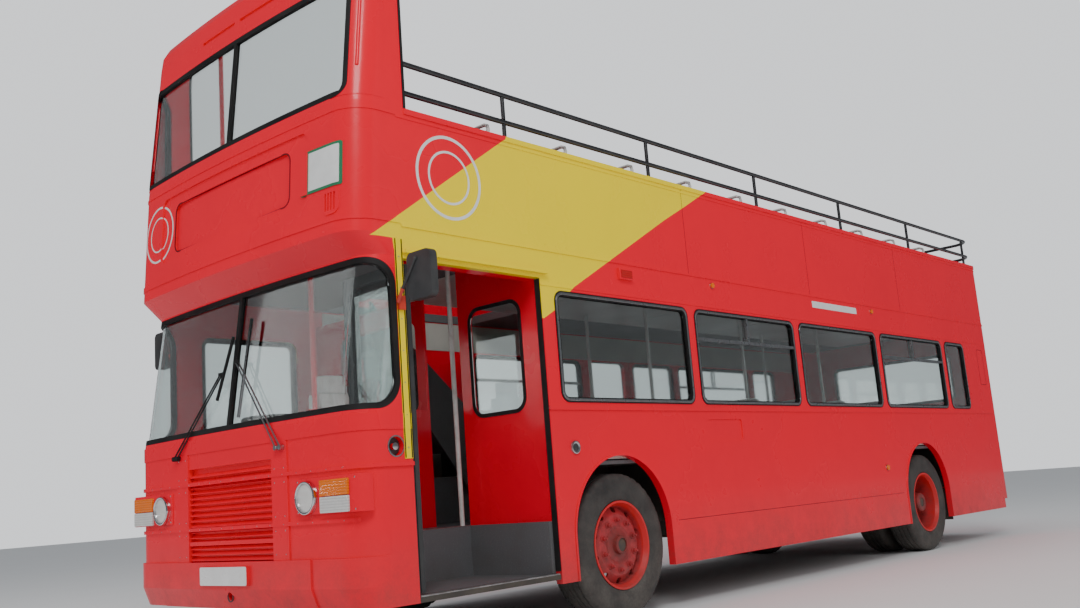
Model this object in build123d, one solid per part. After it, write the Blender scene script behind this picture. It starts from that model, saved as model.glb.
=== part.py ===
from build123d import *
import os
from math import atan2, cos, degrees, radians, sin, sqrt

# Open top double decker bus with a front dome, as an assembly of separate pieces.
# Millimetres. It stands on Z = 0 and faces -Y, and its nearside, with the entrance, is +X.
# The origin is on the ground, in the middle of its length and width.

os.makedirs("parts", exist_ok=True)

# Overall sizes
BODY_LENGTH = 9490
BODY_WIDTH = 2500
DOME_TOP_Z = 4310
WHEELBASE = 4953
FRONT_OVERHANG = 2255
WALL = 50
GLASS = 8
CLEAR = 6
FIT = 0.2

HALF = BODY_WIDTH / 2
INNER = HALF - WALL
FRONT_Y = -BODY_LENGTH / 2
REAR_Y = BODY_LENGTH / 2
FRONT_AXLE_Y = FRONT_Y + FRONT_OVERHANG
REAR_AXLE_Y = FRONT_AXLE_Y + WHEELBASE
SIDES = (("nearside", 1), ("offside", -1))

# Levels above the ground
SKIRT_Z = 297
BUMPER_BOTTOM_Z = 325
BUMPER_TOP_Z = 597
SCREEN_SILL_Z = 1350
SCREEN_HEAD_Z = 2250
LIP_Z = 2370
BELT_Z = 1375
WINDOW_BOTTOM_Z = 1425
WINDOW_TOP_Z = 2165
DECK_LINE_Z = 2435
PARAPET_Z = 3150
UPPER_SILL_Z = 3185
UPPER_HEAD_Z = 3945
BROW_Z = 4120
STEP_Z = 355
FLOOR_Z = 680
FLOOR_THICKNESS = 40
UPPER_FLOOR_Z = 2500
UPPER_FLOOR_THICKNESS = 70

# Entrance, on the nearside in front of the front axle
DOOR_WIDTH = 1150
DOOR_TO_AXLE = 1825
DOOR_FRONT_Y = FRONT_AXLE_Y - DOOR_TO_AXLE
DOOR_REAR_Y = DOOR_FRONT_Y + DOOR_WIDTH
DOOR_HEAD_Z = 2235

# Side windows
WINDOW_START_Y = FRONT_AXLE_Y - 550
WINDOW_PILLAR = 90
REAR_PILLAR = 615
SHORT_WINDOW_WIDTH = 540
REAR_CORNER = 180
SIDE_END_Y = REAR_Y - REAR_CORNER - WALL
WINDOW_PITCH = (SIDE_END_Y - REAR_PILLAR - SHORT_WINDOW_WIDTH - WINDOW_START_Y) / 4
WINDOW_WIDTH = WINDOW_PITCH - WINDOW_PILLAR
WINDOW_CORNER = 75
RUBBER = 34
CAB_WINDOW_Y = DOOR_FRONT_Y + 130
CAB_WINDOW_WIDTH = 820
EXIT_WIDTH = 700
EXIT_FRONT_Y = WINDOW_START_Y + 2 * WINDOW_PITCH
EXIT_BOTTOM_Z = 760
STAIR_PANEL_END_Y = WINDOW_START_Y + WINDOW_PITCH

# Front and rear faces in plan
FRONT_FACE_Y = FRONT_Y + 30
GRILLE_HALF = 470
GRILLE_TOP_Z = 1168
BONNET_TOP_Z = 1262
BOW_RADIUS = 15000
FRONT_CORNER = 190
SCREEN_LEAN = 130
UPPER_LEAN = 130
DOME_BACK_Y = DOOR_FRONT_Y + 65

# Wheels
TYRE_RADIUS = 478
TYRE_WIDTH = 270
RIM_RADIUS = 292
TYRE_FACE_X = 1215
TWIN_SPACING = 330
KINGPIN_X = 985
ARCH_RADIUS = 510
ARCH_CENTRE_Z = 560
WHEEL_BOX_IN_X = 610
WHEEL_BOX_HALF = 640
WHEEL_BOX_TOP_Z = 1040
WHEEL_BOX_BOTTOM_Z = 600
REAR_BOX_IN_X = 570
BAY_FRONT_Y = REAR_AXLE_Y + 950
BAY_TOP_Z = 1130
STEP_IN_X = 450

# Chassis
RAIL_X = 430
RAIL_BOTTOM_Z = 440
RAIL_HEIGHT = 200
RAIL_FLANGE = 75
RAIL_WEB = 10

# Front faces, each through sections of (height, front Y, side inset)
LOWER_FRONT = [(BUMPER_TOP_Z, FRONT_FACE_Y, 0), (SCREEN_SILL_Z, FRONT_FACE_Y, 0)]
SCREEN_ZONE = [(SCREEN_SILL_Z, FRONT_FACE_Y, 0), (SCREEN_HEAD_Z, FRONT_FACE_Y + SCREEN_LEAN, 0)]
SOFFIT_ZONE = [SCREEN_ZONE[1], (LIP_Z, FRONT_FACE_Y, 0)]
DECK_ZONE = [SOFFIT_ZONE[1], (PARAPET_Z, FRONT_FACE_Y + 45, 0)]
UPPER_ZONE = [DECK_ZONE[1], (BROW_Z, FRONT_FACE_Y + UPPER_LEAN + 20, 0)]

# Windscreens
LOWER_SCREEN = dict(sill_z=SCREEN_SILL_Z + 25, head_z=SCREEN_HEAD_Z - 10, half_width=HALF - FRONT_CORNER,
                    side_back_y=DOOR_FRONT_Y - 60, corner=170)
UPPER_SCREEN = dict(sill_z=UPPER_SILL_Z, head_z=UPPER_HEAD_Z, half_width=HALF - FRONT_CORNER,
                    side_back_y=FRONT_FACE_Y + UPPER_LEAN + 190, corner=110)
# Trims round the lower front as (low Z, high Z, half width, proud)
FRONT_TRIMS = ((1062, 1084, HALF + 40, 12), (783, 805, 1180, 12),
               (BONNET_TOP_Z, SCREEN_SILL_Z, HALF + 40, 6))

# Lower front
PILASTER_OUT_X = 620
PILASTER_PROUD = 8
LAMP_PLATE = (700, 1232, 836, 1034)
CONTROL_Y = DOOR_FRONT_Y - 115
CONTROL_Z = 1170
CONTROL_RADIUS = 52
COVER_STRIP_Z = 1100

# Front between the decks
SURROUND_HALF = 856
SURROUND_BOTTOM_Z = 2587
SURROUND_TOP_Z = 3040
SIGN_HALF = 678
SIGN_BOTTOM_Z = 2631
SIGN_TOP_Z = 2967
SIGN_CORNER = 60
BOARD = (802, 1130, 2652, 2905)
VENT = (1003, 1133, 2484, 2636)
VENT_SLOTS = 4
# Mouldings round the front between the decks as (low Z, high Z, proud)
DECK_MOULDINGS = ((2440, 2474, 6), (3098, 3112, 5))

# Bumper and number plates
PLATE_WIDTH = 520
PLATE_HEIGHT = 111
PLATE_PROUD = 17
PLATE_Z = 517
BUMPER_CREASE_Z = 440
BUMPER_LEAN = 45
BUMPER_CENTRE_HALF = 830
BUMPER_STEP = 10
TOW_X = 30
TOW_Z = 397
TOW_RADIUS = 26

# Grille
GRILLE_BAR_Z = 708
SLAT_PITCH = 34
SLAT_RISE = 22

# Dome
ROOF_SLOTS = ((-450, -30), (30, 450))
ROOF_SLOT_Z = 4073
ROOF_SLOT_HEIGHT = 24
FLUTE_RADIUS = 13
FLUTE_BOTTOM_Z = 3365
FLUTE_ANGLE = 40
DOME_POLE_X = -700
DOME_EDGE = 18
DOME_EDGE_Y = DOME_BACK_Y + DOME_EDGE

# Fittings of the sides
LIP_WIDTH = 14
LIP_PROUD = 6
GUTTER_Z = DOOR_HEAD_Z + 27
GUTTER_PROUD = 32
HANDLE_RECESS = (-1400, -920, 1147, 1313)
FILLER_Y = FRONT_AXLE_Y - 457
FILLER_Z = 1133
# Mouldings along the lower side as (low Z, height, proud)
SIDE_MOULDINGS = ((BELT_Z, 26, 9), (DECK_LINE_Z - 14, 14, 7), (WINDOW_TOP_Z + 22, 8, 4))
HOPPER_BAR_DROP = 235
HOPPER_BAR = 24

# Rear
REAR_PANE_HALF = 780
LID_HALF = 930
LID_BOTTOM_Z = 470
LID_TOP_Z = 1330
REAR_BOTTOM_Z = SKIRT_Z + 100
REAR_PLATE_Z = 1455
# Rings round the rear as (low Z, high Z, proud, thickness)
REAR_RINGS = ((REAR_BOTTOM_Z, PARAPET_Z, 0, WALL), (PARAPET_Z - 35, PARAPET_Z, 8, WALL + 16),
              (DECK_LINE_Z - 14, DECK_LINE_Z, 7, 20), (PARAPET_Z - 65, PARAPET_Z - 55, 4, 20))

# Hinges and doors
HINGE_LENGTH = 60
HINGE_RADIUS = 8
LID_HINGE_X = 600
LID_HINGE_Y = REAR_Y + HINGE_RADIUS + 1
LID_HINGE_Z = LID_TOP_Z + 2
EXIT_HINGE_X = -HALF - HINGE_RADIUS - 1
EXIT_HINGE_Y = EXIT_FRONT_Y + CLEAR
EXIT_HINGE_LEVELS = (EXIT_BOTTOM_Z + 150, DOOR_HEAD_Z - 300)
DOOR_HINGE_Y = DOOR_FRONT_Y + 40
DOOR_HINGE_X = HALF - 60
LEAF_WIDTH = (DOOR_WIDTH - 90) / 2
LEAF_THICKNESS = 32

# Stairs and the glazed bulkheads
STAIR_X0 = -INNER + 10
STAIR_X1 = -INNER + 640
STAIR_FRONT_Y = WINDOW_START_Y - 80
STAIR_BACK_Y = STAIR_PANEL_END_Y - 60
VESTIBULE_WINDOW = (560, 1040, 1400, 2130, 90)
CAB_BACK_WINDOW = (-900, 0, 1500, 2150, 60)

# Seats
SEAT_WIDTH = 860
SEAT_PITCH = 760
UPPER_BACK = 700
CUSHION_DEPTH = 420
CUSHION_Z = 380
CUSHION_THICKNESS = 80
BACK_THICKNESS = 62
BACK_RAKE = 95

# Steering wheel
STEER_WHEEL_Y = DOOR_FRONT_Y + 330
STEER_WHEEL_X = -560
STEER_WHEEL_Z = 1500

# Guard rails
RAIL_RADIUS = 17
POST_RADIUS = 14
RAIL_BEND = 180
RAIL_LEVELS = (PARAPET_Z + 122, PARAPET_Z + 310)
RAIL_IN = 45

# Lamps
LAMP_X = 807
LAMP_Z = 928
LAMP_RADIUS = 89
LAMP_FIT = 1
LAMP_DEPTH = 36
# Lamps on the sides as (Y, Z, radius)
SIDE_LAMPS = ((-2267, 2347, 30), (-1150, 2370, 20), (1650, 2370, 20), (REAR_AXLE_Y - 900, 850, 24))
SIGNAL_IN_X = 925
SIGNAL_OUT_X = 1195
SIGNAL_DEPTH = 30
TAIL_LAMP_X = 1010
TAIL_LAMP_RADIUS = 42
TAIL_LAMP_LEVELS = (1480, 1590, 1700)

# Mirrors and wipers
MIRROR_X = HALF + 200
MIRROR_Z = 2095
# Wipers in X and Z on the glass: pivot, end of the arms, top and bottom of the blade
WIPERS = (
    ((-620, 1248), (-110, 1732), (-5, 1957), (-120, 1570)),
    ((545, 1225), (60, 1788), (185, 2040), (150, 1440)),
)
WIPER_STANDOFF = 26
WIPER_ARM_GAP = 45

# Hubs, axles and springs
HUB_BORE = 45
REAR_TUBE_RADIUS = 75
PIN_RADIUS = 28
PIN_CLEAR = 0.05

# Under the floor
FLAP_Y = REAR_AXLE_Y + 655
FLAP_TOP_Z = 575
FLAP_BOTTOM_Z = 260
SPRING_HALF = 620
SPRING_WIDTH = 62
TANK_FROM_AXLE = 900
TANK_LENGTH = 1000
TANK_BOTTOM_Z = 330


def block(x0, x1, y0, y1, z0, z1):
    """A block between two corners."""
    box = Box(abs(x1 - x0), abs(y1 - y0), abs(z1 - z0))
    return Pos((x0 + x1) / 2, (y0 + y1) / 2, (z0 + z1) / 2) * box


def prism_x(x0, x1, sketch):
    """A sketch drawn as (Y, Z), pushed along X from x0 to x1."""
    return extrude(Plane.YZ.offset(min(x0, x1)) * sketch, abs(x1 - x0))


def prism_y(y0, y1, sketch):
    """A sketch drawn as (X, Z), pushed along Y from y0 to y1."""
    plane = Plane(origin=(0, max(y0, y1), 0), x_dir=(1, 0, 0), z_dir=(0, -1, 0))
    return extrude(plane * sketch, abs(y1 - y0))


def rounded(u0, u1, v0, v1, radius):
    """A rounded rectangle between two corners of a plane."""
    shape = RectangleRounded(abs(u1 - u0), abs(v1 - v0), radius)
    return Pos((u0 + u1) / 2, (v0 + v1) / 2) * shape


def rod_x(x0, x1, y, z, radius):
    """A round bar along X."""
    return Pos((x0 + x1) / 2, y, z) * Rot(0, 90, 0) * Cylinder(radius, abs(x1 - x0))


def rod_y(y0, y1, x, z, radius):
    """A round bar along Y."""
    return Pos(x, (y0 + y1) / 2, z) * Rot(90, 0, 0) * Cylinder(radius, abs(y1 - y0))


def rod_z(z0, z1, x, y, radius):
    """An upright round bar."""
    return Pos(x, y, (z0 + z1) / 2) * Cylinder(radius, abs(z1 - z0))


def bar(start, end, radius):
    """A round bar between two points."""
    start, end = Vector(*start), Vector(*end)
    along = end - start
    return Plane(origin=(start + end) / 2, z_dir=along) * Cylinder(radius, along.length)


def join(pieces):
    """All of the pieces as one shape."""
    whole = pieces[0]
    for piece in pieces[1:]:
        whole = whole + piece
    return whole


def group(pieces):
    """Solids that do not touch, kept side by side."""
    solids = []
    for piece in pieces:
        solids.extend(piece.solids())
    return Compound(children=solids)


PARTS = {}


def keep(name, shape):
    """Stores a finished piece under its node name."""
    PARTS[name] = shape


# Front and rear outlines in plan


def plan(z, front_y, back_y, inset=0, side_inset=0):
    """The front end in plan: bowed face, two corners, sides running back to back_y."""
    half = HALF - inset - side_inset
    corner = FRONT_CORNER - inset - side_inset
    bow = BOW_RADIUS - inset
    face_y = front_y + inset
    bow_centre_y = face_y + bow
    corner_x = half - corner
    corner_y = bow_centre_y - sqrt((bow - corner) ** 2 - corner_x ** 2)
    ratio = bow / (bow - corner)
    meet_x = corner_x * ratio
    meet_y = bow_centre_y + (corner_y - bow_centre_y) * ratio
    away = sqrt(0.5) * corner
    edges = [
        Line((half, back_y), (half, corner_y)),
        ThreePointArc((half, corner_y), (corner_x + away, corner_y - away), (meet_x, meet_y)),
        ThreePointArc((meet_x, meet_y), (0, face_y), (-meet_x, meet_y)),
        ThreePointArc((-meet_x, meet_y), (-corner_x - away, corner_y - away), (-half, corner_y)),
        Line((-half, corner_y), (-half, back_y)),
        Line((-half, back_y), (half, back_y)),
    ]
    return Pos(0, 0, z) * make_face(Wire(edges))


def front_body(sections, back_y, inset=0):
    """A solid front end through sections of (height, front Y, side inset)."""
    pieces = []
    for low, high in zip(sections, sections[1:]):
        faces = [plan(z, front, back_y, inset, side) for z, front, side in (low, high)]
        pieces.append(loft(faces, ruled=True))
    return join(pieces)


def front_shell(sections, back_y, wall=WALL, inset=0):
    """A front end that is open at the back, above and below."""
    first, last = sections[0], sections[-1]
    inner = [(first[0] - 1, first[1], first[2])] + list(sections[1:-1]) + [(last[0] + 1, last[1], last[2])]
    return front_body(sections, back_y, inset) - front_body(inner, back_y + 10, inset + wall)


def face_pad(zone, outline, proud, sink=2):
    """What stands proud of the front inside an outline drawn as (X, Z)."""
    layer = front_shell(zone, DOOR_FRONT_Y, wall=proud + sink, inset=-proud)
    return layer & prism_y(FRONT_Y - 60, DOOR_FRONT_Y + 5, outline)


def face_recess(zone, outline, depth):
    """A cutter that sinks an outline drawn as (X, Z) into the front."""
    return face_pad(zone, outline, 20, depth)


def band(low_z, high_z, half=HALF + 40):
    """The outline of a strip across the front."""
    return Pos(0, (low_z + high_z) / 2) * Rectangle(2 * half, high_z - low_z)


def screen_cutter(sill_z, head_z, half_width, side_back_y, corner, shrink=0):
    """The opening of a wrap-round windscreen: a front prism and one through each side."""
    low, high = sill_z + shrink, head_z - shrink
    front = prism_y(FRONT_Y - 50, FRONT_Y + 460,
                    Pos(0, (low + high) / 2) * Rectangle(2 * half_width, high - low))
    profile = rounded(FRONT_Y - 400, side_back_y - shrink, low, high, corner - shrink)
    ends = [prism_x(side * (half_width - 60), side * (HALF + 50), profile) for _, side in SIDES]
    return front + ends[0] + ends[1]


def lower_front_panel():
    """The lower front: grille opening, pilasters, trims, lamp plates and the outside door control."""
    panel = front_shell(LOWER_FRONT, DOOR_FRONT_Y)
    panel = panel - block(-GRILLE_HALF, GRILLE_HALF, FRONT_Y - 20, FRONT_Y + 200, BUMPER_TOP_Z - 1,
                          GRILLE_TOP_Z)
    x0, x1, z0, z1 = LAMP_PLATE
    for _, side in SIDES:
        upright = rounded(side * GRILLE_HALF, side * PILASTER_OUT_X, BUMPER_TOP_Z - 30, BONNET_TOP_Z, 12)
        panel = panel + face_pad(LOWER_FRONT, upright, PILASTER_PROUD)
        panel = panel + face_pad(LOWER_FRONT, rounded(side * x0, side * x1, z0, z1, 14), 4)
    for low_z, high_z, half, proud in FRONT_TRIMS:
        panel = panel + face_pad(LOWER_FRONT, band(low_z, high_z, half), proud)
    for _, side in SIDES:
        panel = panel - head_lamp_socket(side) - signal_pair(side, LAMP_FIT)
    panel = panel + cover_strip(COVER_STRIP_Z, SCREEN_SILL_Z)
    panel = panel - rod_x(HALF - WALL + 15, HALF + 20, CONTROL_Y, CONTROL_Z, CONTROL_RADIUS)
    panel = panel + rod_x(HALF - WALL + 10, HALF - 8, CONTROL_Y, CONTROL_Z, CONTROL_RADIUS / 3)
    keep("front_lower_panel", panel)


def cover_strip(low_z, high_z):
    """The ribbed cover strip in front of the entrance."""
    return block(HALF - 1, HALF + 4, DOOR_FRONT_Y - 60, DOOR_FRONT_Y - FIT, low_z, high_z)


def upper_front_panel():
    """The front from the lower windscreen to the upper one, with the sunk destination panel."""
    panel = front_shell(SCREEN_ZONE + [SOFFIT_ZONE[1], DECK_ZONE[1]],
                        DOOR_FRONT_Y) - screen_cutter(**LOWER_SCREEN)
    for low_z, high_z, proud in DECK_MOULDINGS:
        panel = panel + face_pad(DECK_ZONE, band(low_z, high_z), proud)
    surround = rounded(-SURROUND_HALF, SURROUND_HALF, SURROUND_BOTTOM_Z, SURROUND_TOP_Z, SIGN_CORNER)
    sign = rounded(-SIGN_HALF, SIGN_HALF, SIGN_BOTTOM_Z, SIGN_TOP_Z, SIGN_CORNER)
    panel = panel - face_recess(DECK_ZONE, surround, 12) - face_recess(DECK_ZONE, sign, 28)
    panel = panel + face_pad(DECK_ZONE, rounded(*BOARD, 12), 4)
    x0, x1, z0, z1 = VENT
    panel = panel + face_pad(DECK_ZONE, rounded(x0, x1, z0, z1, 45), 7)
    pitch = (x1 - x0 - 36) / VENT_SLOTS
    for index in range(VENT_SLOTS):
        x = x0 + 18 + (index + 0.5) * pitch
        panel = panel - face_recess(DECK_ZONE, rounded(x - 7, x + 7, z0 + 22, z1 - 22, 6.5), 12)
    keep("front_upper_panel", panel + cover_strip(SCREEN_SILL_Z, LIP_Z - 20))


def front_bumper():
    """The bumper: a middle that stands out between two corner pieces, with the number plate's block."""
    levels = ((BUMPER_BOTTOM_Z, BUMPER_LEAN), (BUMPER_CREASE_Z, 0), (BUMPER_TOP_Z, 0))
    corners = front_shell([(z, FRONT_Y + BUMPER_STEP + lean, 0) for z, lean in levels], DOOR_FRONT_Y)
    middle = front_shell([(z, FRONT_Y + lean, 0) for z, lean in levels], DOOR_FRONT_Y, wall=BUMPER_STEP + 5)
    middle = middle & block(-BUMPER_CENTRE_HALF, BUMPER_CENTRE_HALF, FRONT_Y - 10, FRONT_Y + 300, 0,
                            BUMPER_TOP_Z + 5)
    plate = block(-PLATE_WIDTH / 2, PLATE_WIDTH / 2, FRONT_Y - PLATE_PROUD, FRONT_Y + 20,
                  PLATE_Z - PLATE_HEIGHT / 2,
                  PLATE_Z + PLATE_HEIGHT / 2)
    keep("front_bumper",
         corners + middle + plate - rod_y(FRONT_Y - 20, FRONT_Y + 200, TOW_X, TOW_Z, TOW_RADIUS))


def front_grille():
    """Sloping slats on a back plate, with one heavier bar low down."""
    x0, x1 = -GRILLE_HALF + FIT, GRILLE_HALF - FIT
    low_z, high_z = BUMPER_TOP_Z + FIT, GRILLE_TOP_Z - FIT
    face_y, back_y = FRONT_FACE_Y + 12, FRONT_FACE_Y + 42
    pieces = [block(x0, x1, back_y - 2, back_y + 6, low_z, high_z)]
    z = low_z + 6
    while z + SLAT_RISE + 4 < high_z:
        slat = Polyline((face_y, z), (back_y, z + SLAT_RISE), (back_y, z + SLAT_RISE + 4), (face_y, z + 4),
                        close=True)
        pieces.append(prism_x(x0, x1, make_face(slat)))
        z += SLAT_PITCH
    pieces.append(block(x0, x1, face_y - 8, back_y, GRILLE_BAR_Z - 12, GRILLE_BAR_Z + 12))
    keep("front_grille", join(pieces))


def dome_body(back_y, inset=0, drop=0):
    """The dome as a solid back to back_y, made smaller by inset and lowered by drop."""
    sections = list(UPPER_ZONE)
    rise, back = DOME_TOP_Z - BROW_Z, 110
    for angle in (30, 60, 90):
        turn = radians(angle)
        depth = back * (1 - cos(turn))
        sections.append((BROW_Z + rise * sin(turn), UPPER_ZONE[1][1] + depth, depth * 0.7))
    lowered = [(z - drop if z > PARAPET_Z else z - max(drop, 0) / WALL, front, side) for z, front,
               side in sections]
    return front_body(lowered, back_y, inset)


def corner_flute(side):
    """The upright groove in a front corner of the dome."""
    (low_z, low_y, _), (high_z, high_y, _) = UPPER_ZONE
    lean = (high_y - low_y) / (high_z - low_z)
    turn = radians(FLUTE_ANGLE)
    x = side * (HALF - FRONT_CORNER + FRONT_CORNER * cos(turn))
    drop = face_depth(HALF - FRONT_CORNER)
    points = []
    for z in (FLUTE_BOTTOM_Z, BROW_Z):
        centre_y = low_y + lean * (z - low_z) + FRONT_CORNER + drop
        points.append((x, centre_y - FRONT_CORNER * sin(turn), z))
    return bar(*points, FLUTE_RADIUS) + Pos(*points[0]) * Sphere(FLUTE_RADIUS)


def front_dome():
    """The roof dome over the front seats, with its returns down to the parapet and its pole."""
    dome = dome_body(DOME_BACK_Y) - dome_body(DOME_BACK_Y + 10, WALL, WALL) - screen_cutter(**UPPER_SCREEN)
    low_z, high_z = ROOF_SLOT_Z - ROOF_SLOT_HEIGHT / 2, ROOF_SLOT_Z + ROOF_SLOT_HEIGHT / 2
    for x0, x1 in ROOF_SLOTS:
        dome = dome - face_recess(UPPER_ZONE, rounded(x0, x1, low_z, high_z, 10), 14)
    for _, side in SIDES:
        dome = dome - corner_flute(side)
    dome = dome + rod_z(UPPER_FLOOR_Z + FIT, DOME_TOP_Z - WALL + 5, DOME_POLE_X, DOME_BACK_Y - 25, 16)
    keep("front_dome", dome)


def dome_edging():
    """The black edging round the open back of the dome."""
    ring = dome_body(DOME_EDGE_Y, -4, -4) - dome_body(DOME_EDGE_Y + 10, WALL + 4, WALL + 4)
    return ring & block(-HALF - 20, HALF + 20, DOME_BACK_Y + FIT, DOME_EDGE_Y, PARAPET_Z + FIT,
                        DOME_TOP_Z + 20)


def windscreens():
    """Both curved windscreens, and the black rubber that holds them."""
    panes, rubbers = [], []
    for screen, zone in ((LOWER_SCREEN, SCREEN_ZONE), (UPPER_SCREEN, UPPER_ZONE)):
        hole = screen_cutter(**screen)
        light = screen_cutter(**screen, shrink=RUBBER)
        divider = block(-14, 14, FRONT_Y - 40, FRONT_Y + 400, zone[0][0], zone[1][0])
        glass = front_shell(zone, DOOR_FRONT_Y - 20, wall=GLASS, inset=18) & (light - divider)
        ring = front_shell(zone, DOOR_FRONT_Y - 20, wall=34, inset=0) & ((hole - light) + (divider & hole))
        panes.append(glass)
        rubbers.append(ring)
    return panes, rubbers


# Sides


def window_list(side):
    """The windows of one side as (front Y, width, whether its top opens)."""
    places = []
    for index in range(4):
        y = WINDOW_START_Y + index * WINDOW_PITCH
        if side > 0 or index % 2:
            places.append((y, WINDOW_WIDTH, index % 2 == 1))
        elif index == 2:
            places.append((y + EXIT_WIDTH + 60, WINDOW_WIDTH - EXIT_WIDTH - 60, False))
    places.append((WINDOW_START_Y + 4 * WINDOW_PITCH, SHORT_WINDOW_WIDTH, False))
    if side < 0:
        places.append((CAB_WINDOW_Y, CAB_WINDOW_WIDTH, False))
    return places


def arch_cutter(side, axle_y, depth):
    """A wheel opening: a round top over straight edges."""
    x0, x1 = side * (HALF + 20), side * (HALF - depth)
    top = prism_x(x0, x1, Pos(axle_y, ARCH_CENTRE_Z) * Circle(ARCH_RADIUS))
    return top + block(x0, x1, axle_y - ARCH_RADIUS, axle_y + ARCH_RADIUS, 0, ARCH_CENTRE_Z)


def arch_lip(side, axle_y):
    """The bead round a wheel opening."""
    outer = Pos(axle_y, ARCH_CENTRE_Z) * Circle(ARCH_RADIUS + LIP_WIDTH)
    depth = ARCH_CENTRE_Z - SKIRT_Z
    outer += Pos(axle_y, ARCH_CENTRE_Z - depth / 2) * Rectangle(2 * (ARCH_RADIUS + LIP_WIDTH), depth)
    lip = prism_x(side * (HALF - 2), side * (HALF + LIP_PROUD), outer)
    return lip & block(side * (HALF - 5), side * (HALF + 20), axle_y - 900, axle_y + 900, SKIRT_Z, 2000)


def door_gutter():
    """The rain gutter over the entrance, a ledge with an upturned lip."""
    y0, y1 = DOOR_FRONT_Y + FIT, DOOR_REAR_Y + 55
    ledge = block(HALF - 2, HALF + GUTTER_PROUD, y0, y1, GUTTER_Z, GUTTER_Z + 6)
    return ledge + block(HALF + GUTTER_PROUD - 6, HALF + GUTTER_PROUD, y0, y1, GUTTER_Z, GUTTER_Z + 20)


def lower_side(name, side):
    """The lower deck side wall with its mouldings, windows and wheel openings."""
    front_y = DOOR_REAR_Y if side > 0 else DOOR_FRONT_Y
    wall = block(side * INNER, side * HALF, front_y, SIDE_END_Y, SKIRT_Z, DECK_LINE_Z)
    if side > 0:
        wall = wall + block(INNER, HALF, DOOR_FRONT_Y, DOOR_REAR_Y, DOOR_HEAD_Z, DECK_LINE_Z)
    face = side * HALF
    for axle_y in (FRONT_AXLE_Y, REAR_AXLE_Y):
        wall = wall + arch_lip(side, axle_y)
    for z, height, proud in SIDE_MOULDINGS:
        start = DOOR_FRONT_Y if z > DOOR_HEAD_Z else front_y
        wall = wall + block(face, face + side * proud, start, SIDE_END_Y, z, z + height)
    for axle_y in (FRONT_AXLE_Y, REAR_AXLE_Y):
        wall = wall - arch_cutter(side, axle_y, WALL + 5)
    for y, width, _ in window_list(side):
        hole = rounded(y, y + width, WINDOW_BOTTOM_Z, WINDOW_TOP_Z, WINDOW_CORNER)
        wall = wall - prism_x(side * (HALF + 20), side * (INNER - 5), hole)
    if side > 0:
        wall = wall - prism_x(HALF - 8, HALF + 20, rounded(*HANDLE_RECESS, 25))
        wall = wall + rod_x(HALF - 2, HALF + 7, FILLER_Y, FILLER_Z, 34) + door_gutter()
    else:
        wall = wall - block(-HALF - 20, -INNER + 5, EXIT_FRONT_Y, EXIT_FRONT_Y + EXIT_WIDTH, EXIT_BOTTOM_Z,
                            DOOR_HEAD_Z)
        for z in EXIT_HINGE_LEVELS:
            wall = wall + exit_hinge(z, -30)
    keep(name + "_lower_side", wall)


def upper_side(name, side):
    """The upper deck side panel under the guard rails."""
    wall = block(side * INNER, side * HALF, DOOR_FRONT_Y, SIDE_END_Y, DECK_LINE_Z, PARAPET_Z - 35)
    cap = block(side * (INNER - 8), side * (HALF + 8), DOME_BACK_Y, SIDE_END_Y, PARAPET_Z - 35, PARAPET_Z)
    stub = block(side * INNER, side * HALF, DOOR_FRONT_Y, DOME_BACK_Y, PARAPET_Z - 35, PARAPET_Z)
    bead = block(side * (HALF - 2), side * (HALF + 4), DOOR_FRONT_Y, SIDE_END_Y, PARAPET_Z - 65,
                 PARAPET_Z - 55)
    keep(name + "_upper_side", wall + cap + stub + bead)


def side_window(side, y, width, opens):
    """The panes and the frame of one side window; a bar crosses it where its top opens."""
    outer = rounded(y, y + width, WINDOW_BOTTOM_Z, WINDOW_TOP_Z, WINDOW_CORNER)
    light = rounded(y + RUBBER, y + width - RUBBER, WINDOW_BOTTOM_Z + RUBBER, WINDOW_TOP_Z - RUBBER,
                    WINDOW_CORNER - RUBBER)
    frame = outer - light
    if opens:
        bar_z = WINDOW_TOP_Z - HOPPER_BAR_DROP
        bars = rounded(y, y + width, bar_z - HOPPER_BAR / 2, bar_z + HOPPER_BAR / 2, 3)
        bars += rounded(y + width / 2 - 12, y + width / 2 + 12, bar_z, WINDOW_TOP_Z, 3)
        frame += bars & outer
        light -= bars
    pane = prism_x(side * (HALF - 24), side * (HALF - 24 + GLASS), light)
    return pane, prism_x(side * (HALF - 40), side * (HALF + 5), frame)


def inside_panes():
    """The glass of the bulkhead behind the entrance and of the one behind the driver."""
    vestibule = shrunk(VESTIBULE_WINDOW, FIT)
    cab = shrunk(CAB_BACK_WINDOW, FIT)
    return [prism_y(DOOR_REAR_Y + 14, DOOR_REAR_Y + 20, vestibule),
            prism_y(DOOR_REAR_Y, DOOR_REAR_Y + 6, cab)]


def shrunk(window, amount):
    """A rounded window (X0, X1, Z0, Z1, corner) made smaller all round."""
    x0, x1, z0, z1, corner = window
    return rounded(x0 + amount, x1 - amount, z0 + amount, z1 - amount, corner - amount)


def side_glass():
    """All panes, and the rubber and bright frames that hold them."""
    screens, frames = windscreens()
    panes = inside_panes()
    for _, side in SIDES:
        for window in window_list(side):
            pane, frame = side_window(side, *window)
            panes.append(pane)
            frames.append(frame)
    pane = rear_pane_sketch(RUBBER)
    panes.append(prism_y(REAR_Y - 24, REAR_Y - 24 - GLASS, pane))
    ring = prism_y(REAR_Y + 5, REAR_Y - 40, rear_pane_sketch(0)) - prism_y(REAR_Y + 10, REAR_Y - 45, pane)
    frames += [ring, dome_edging()]
    keep("windscreens", group(screens))
    keep("side_windows", group(panes))
    keep("glazing_frames", group(frames))


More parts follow.
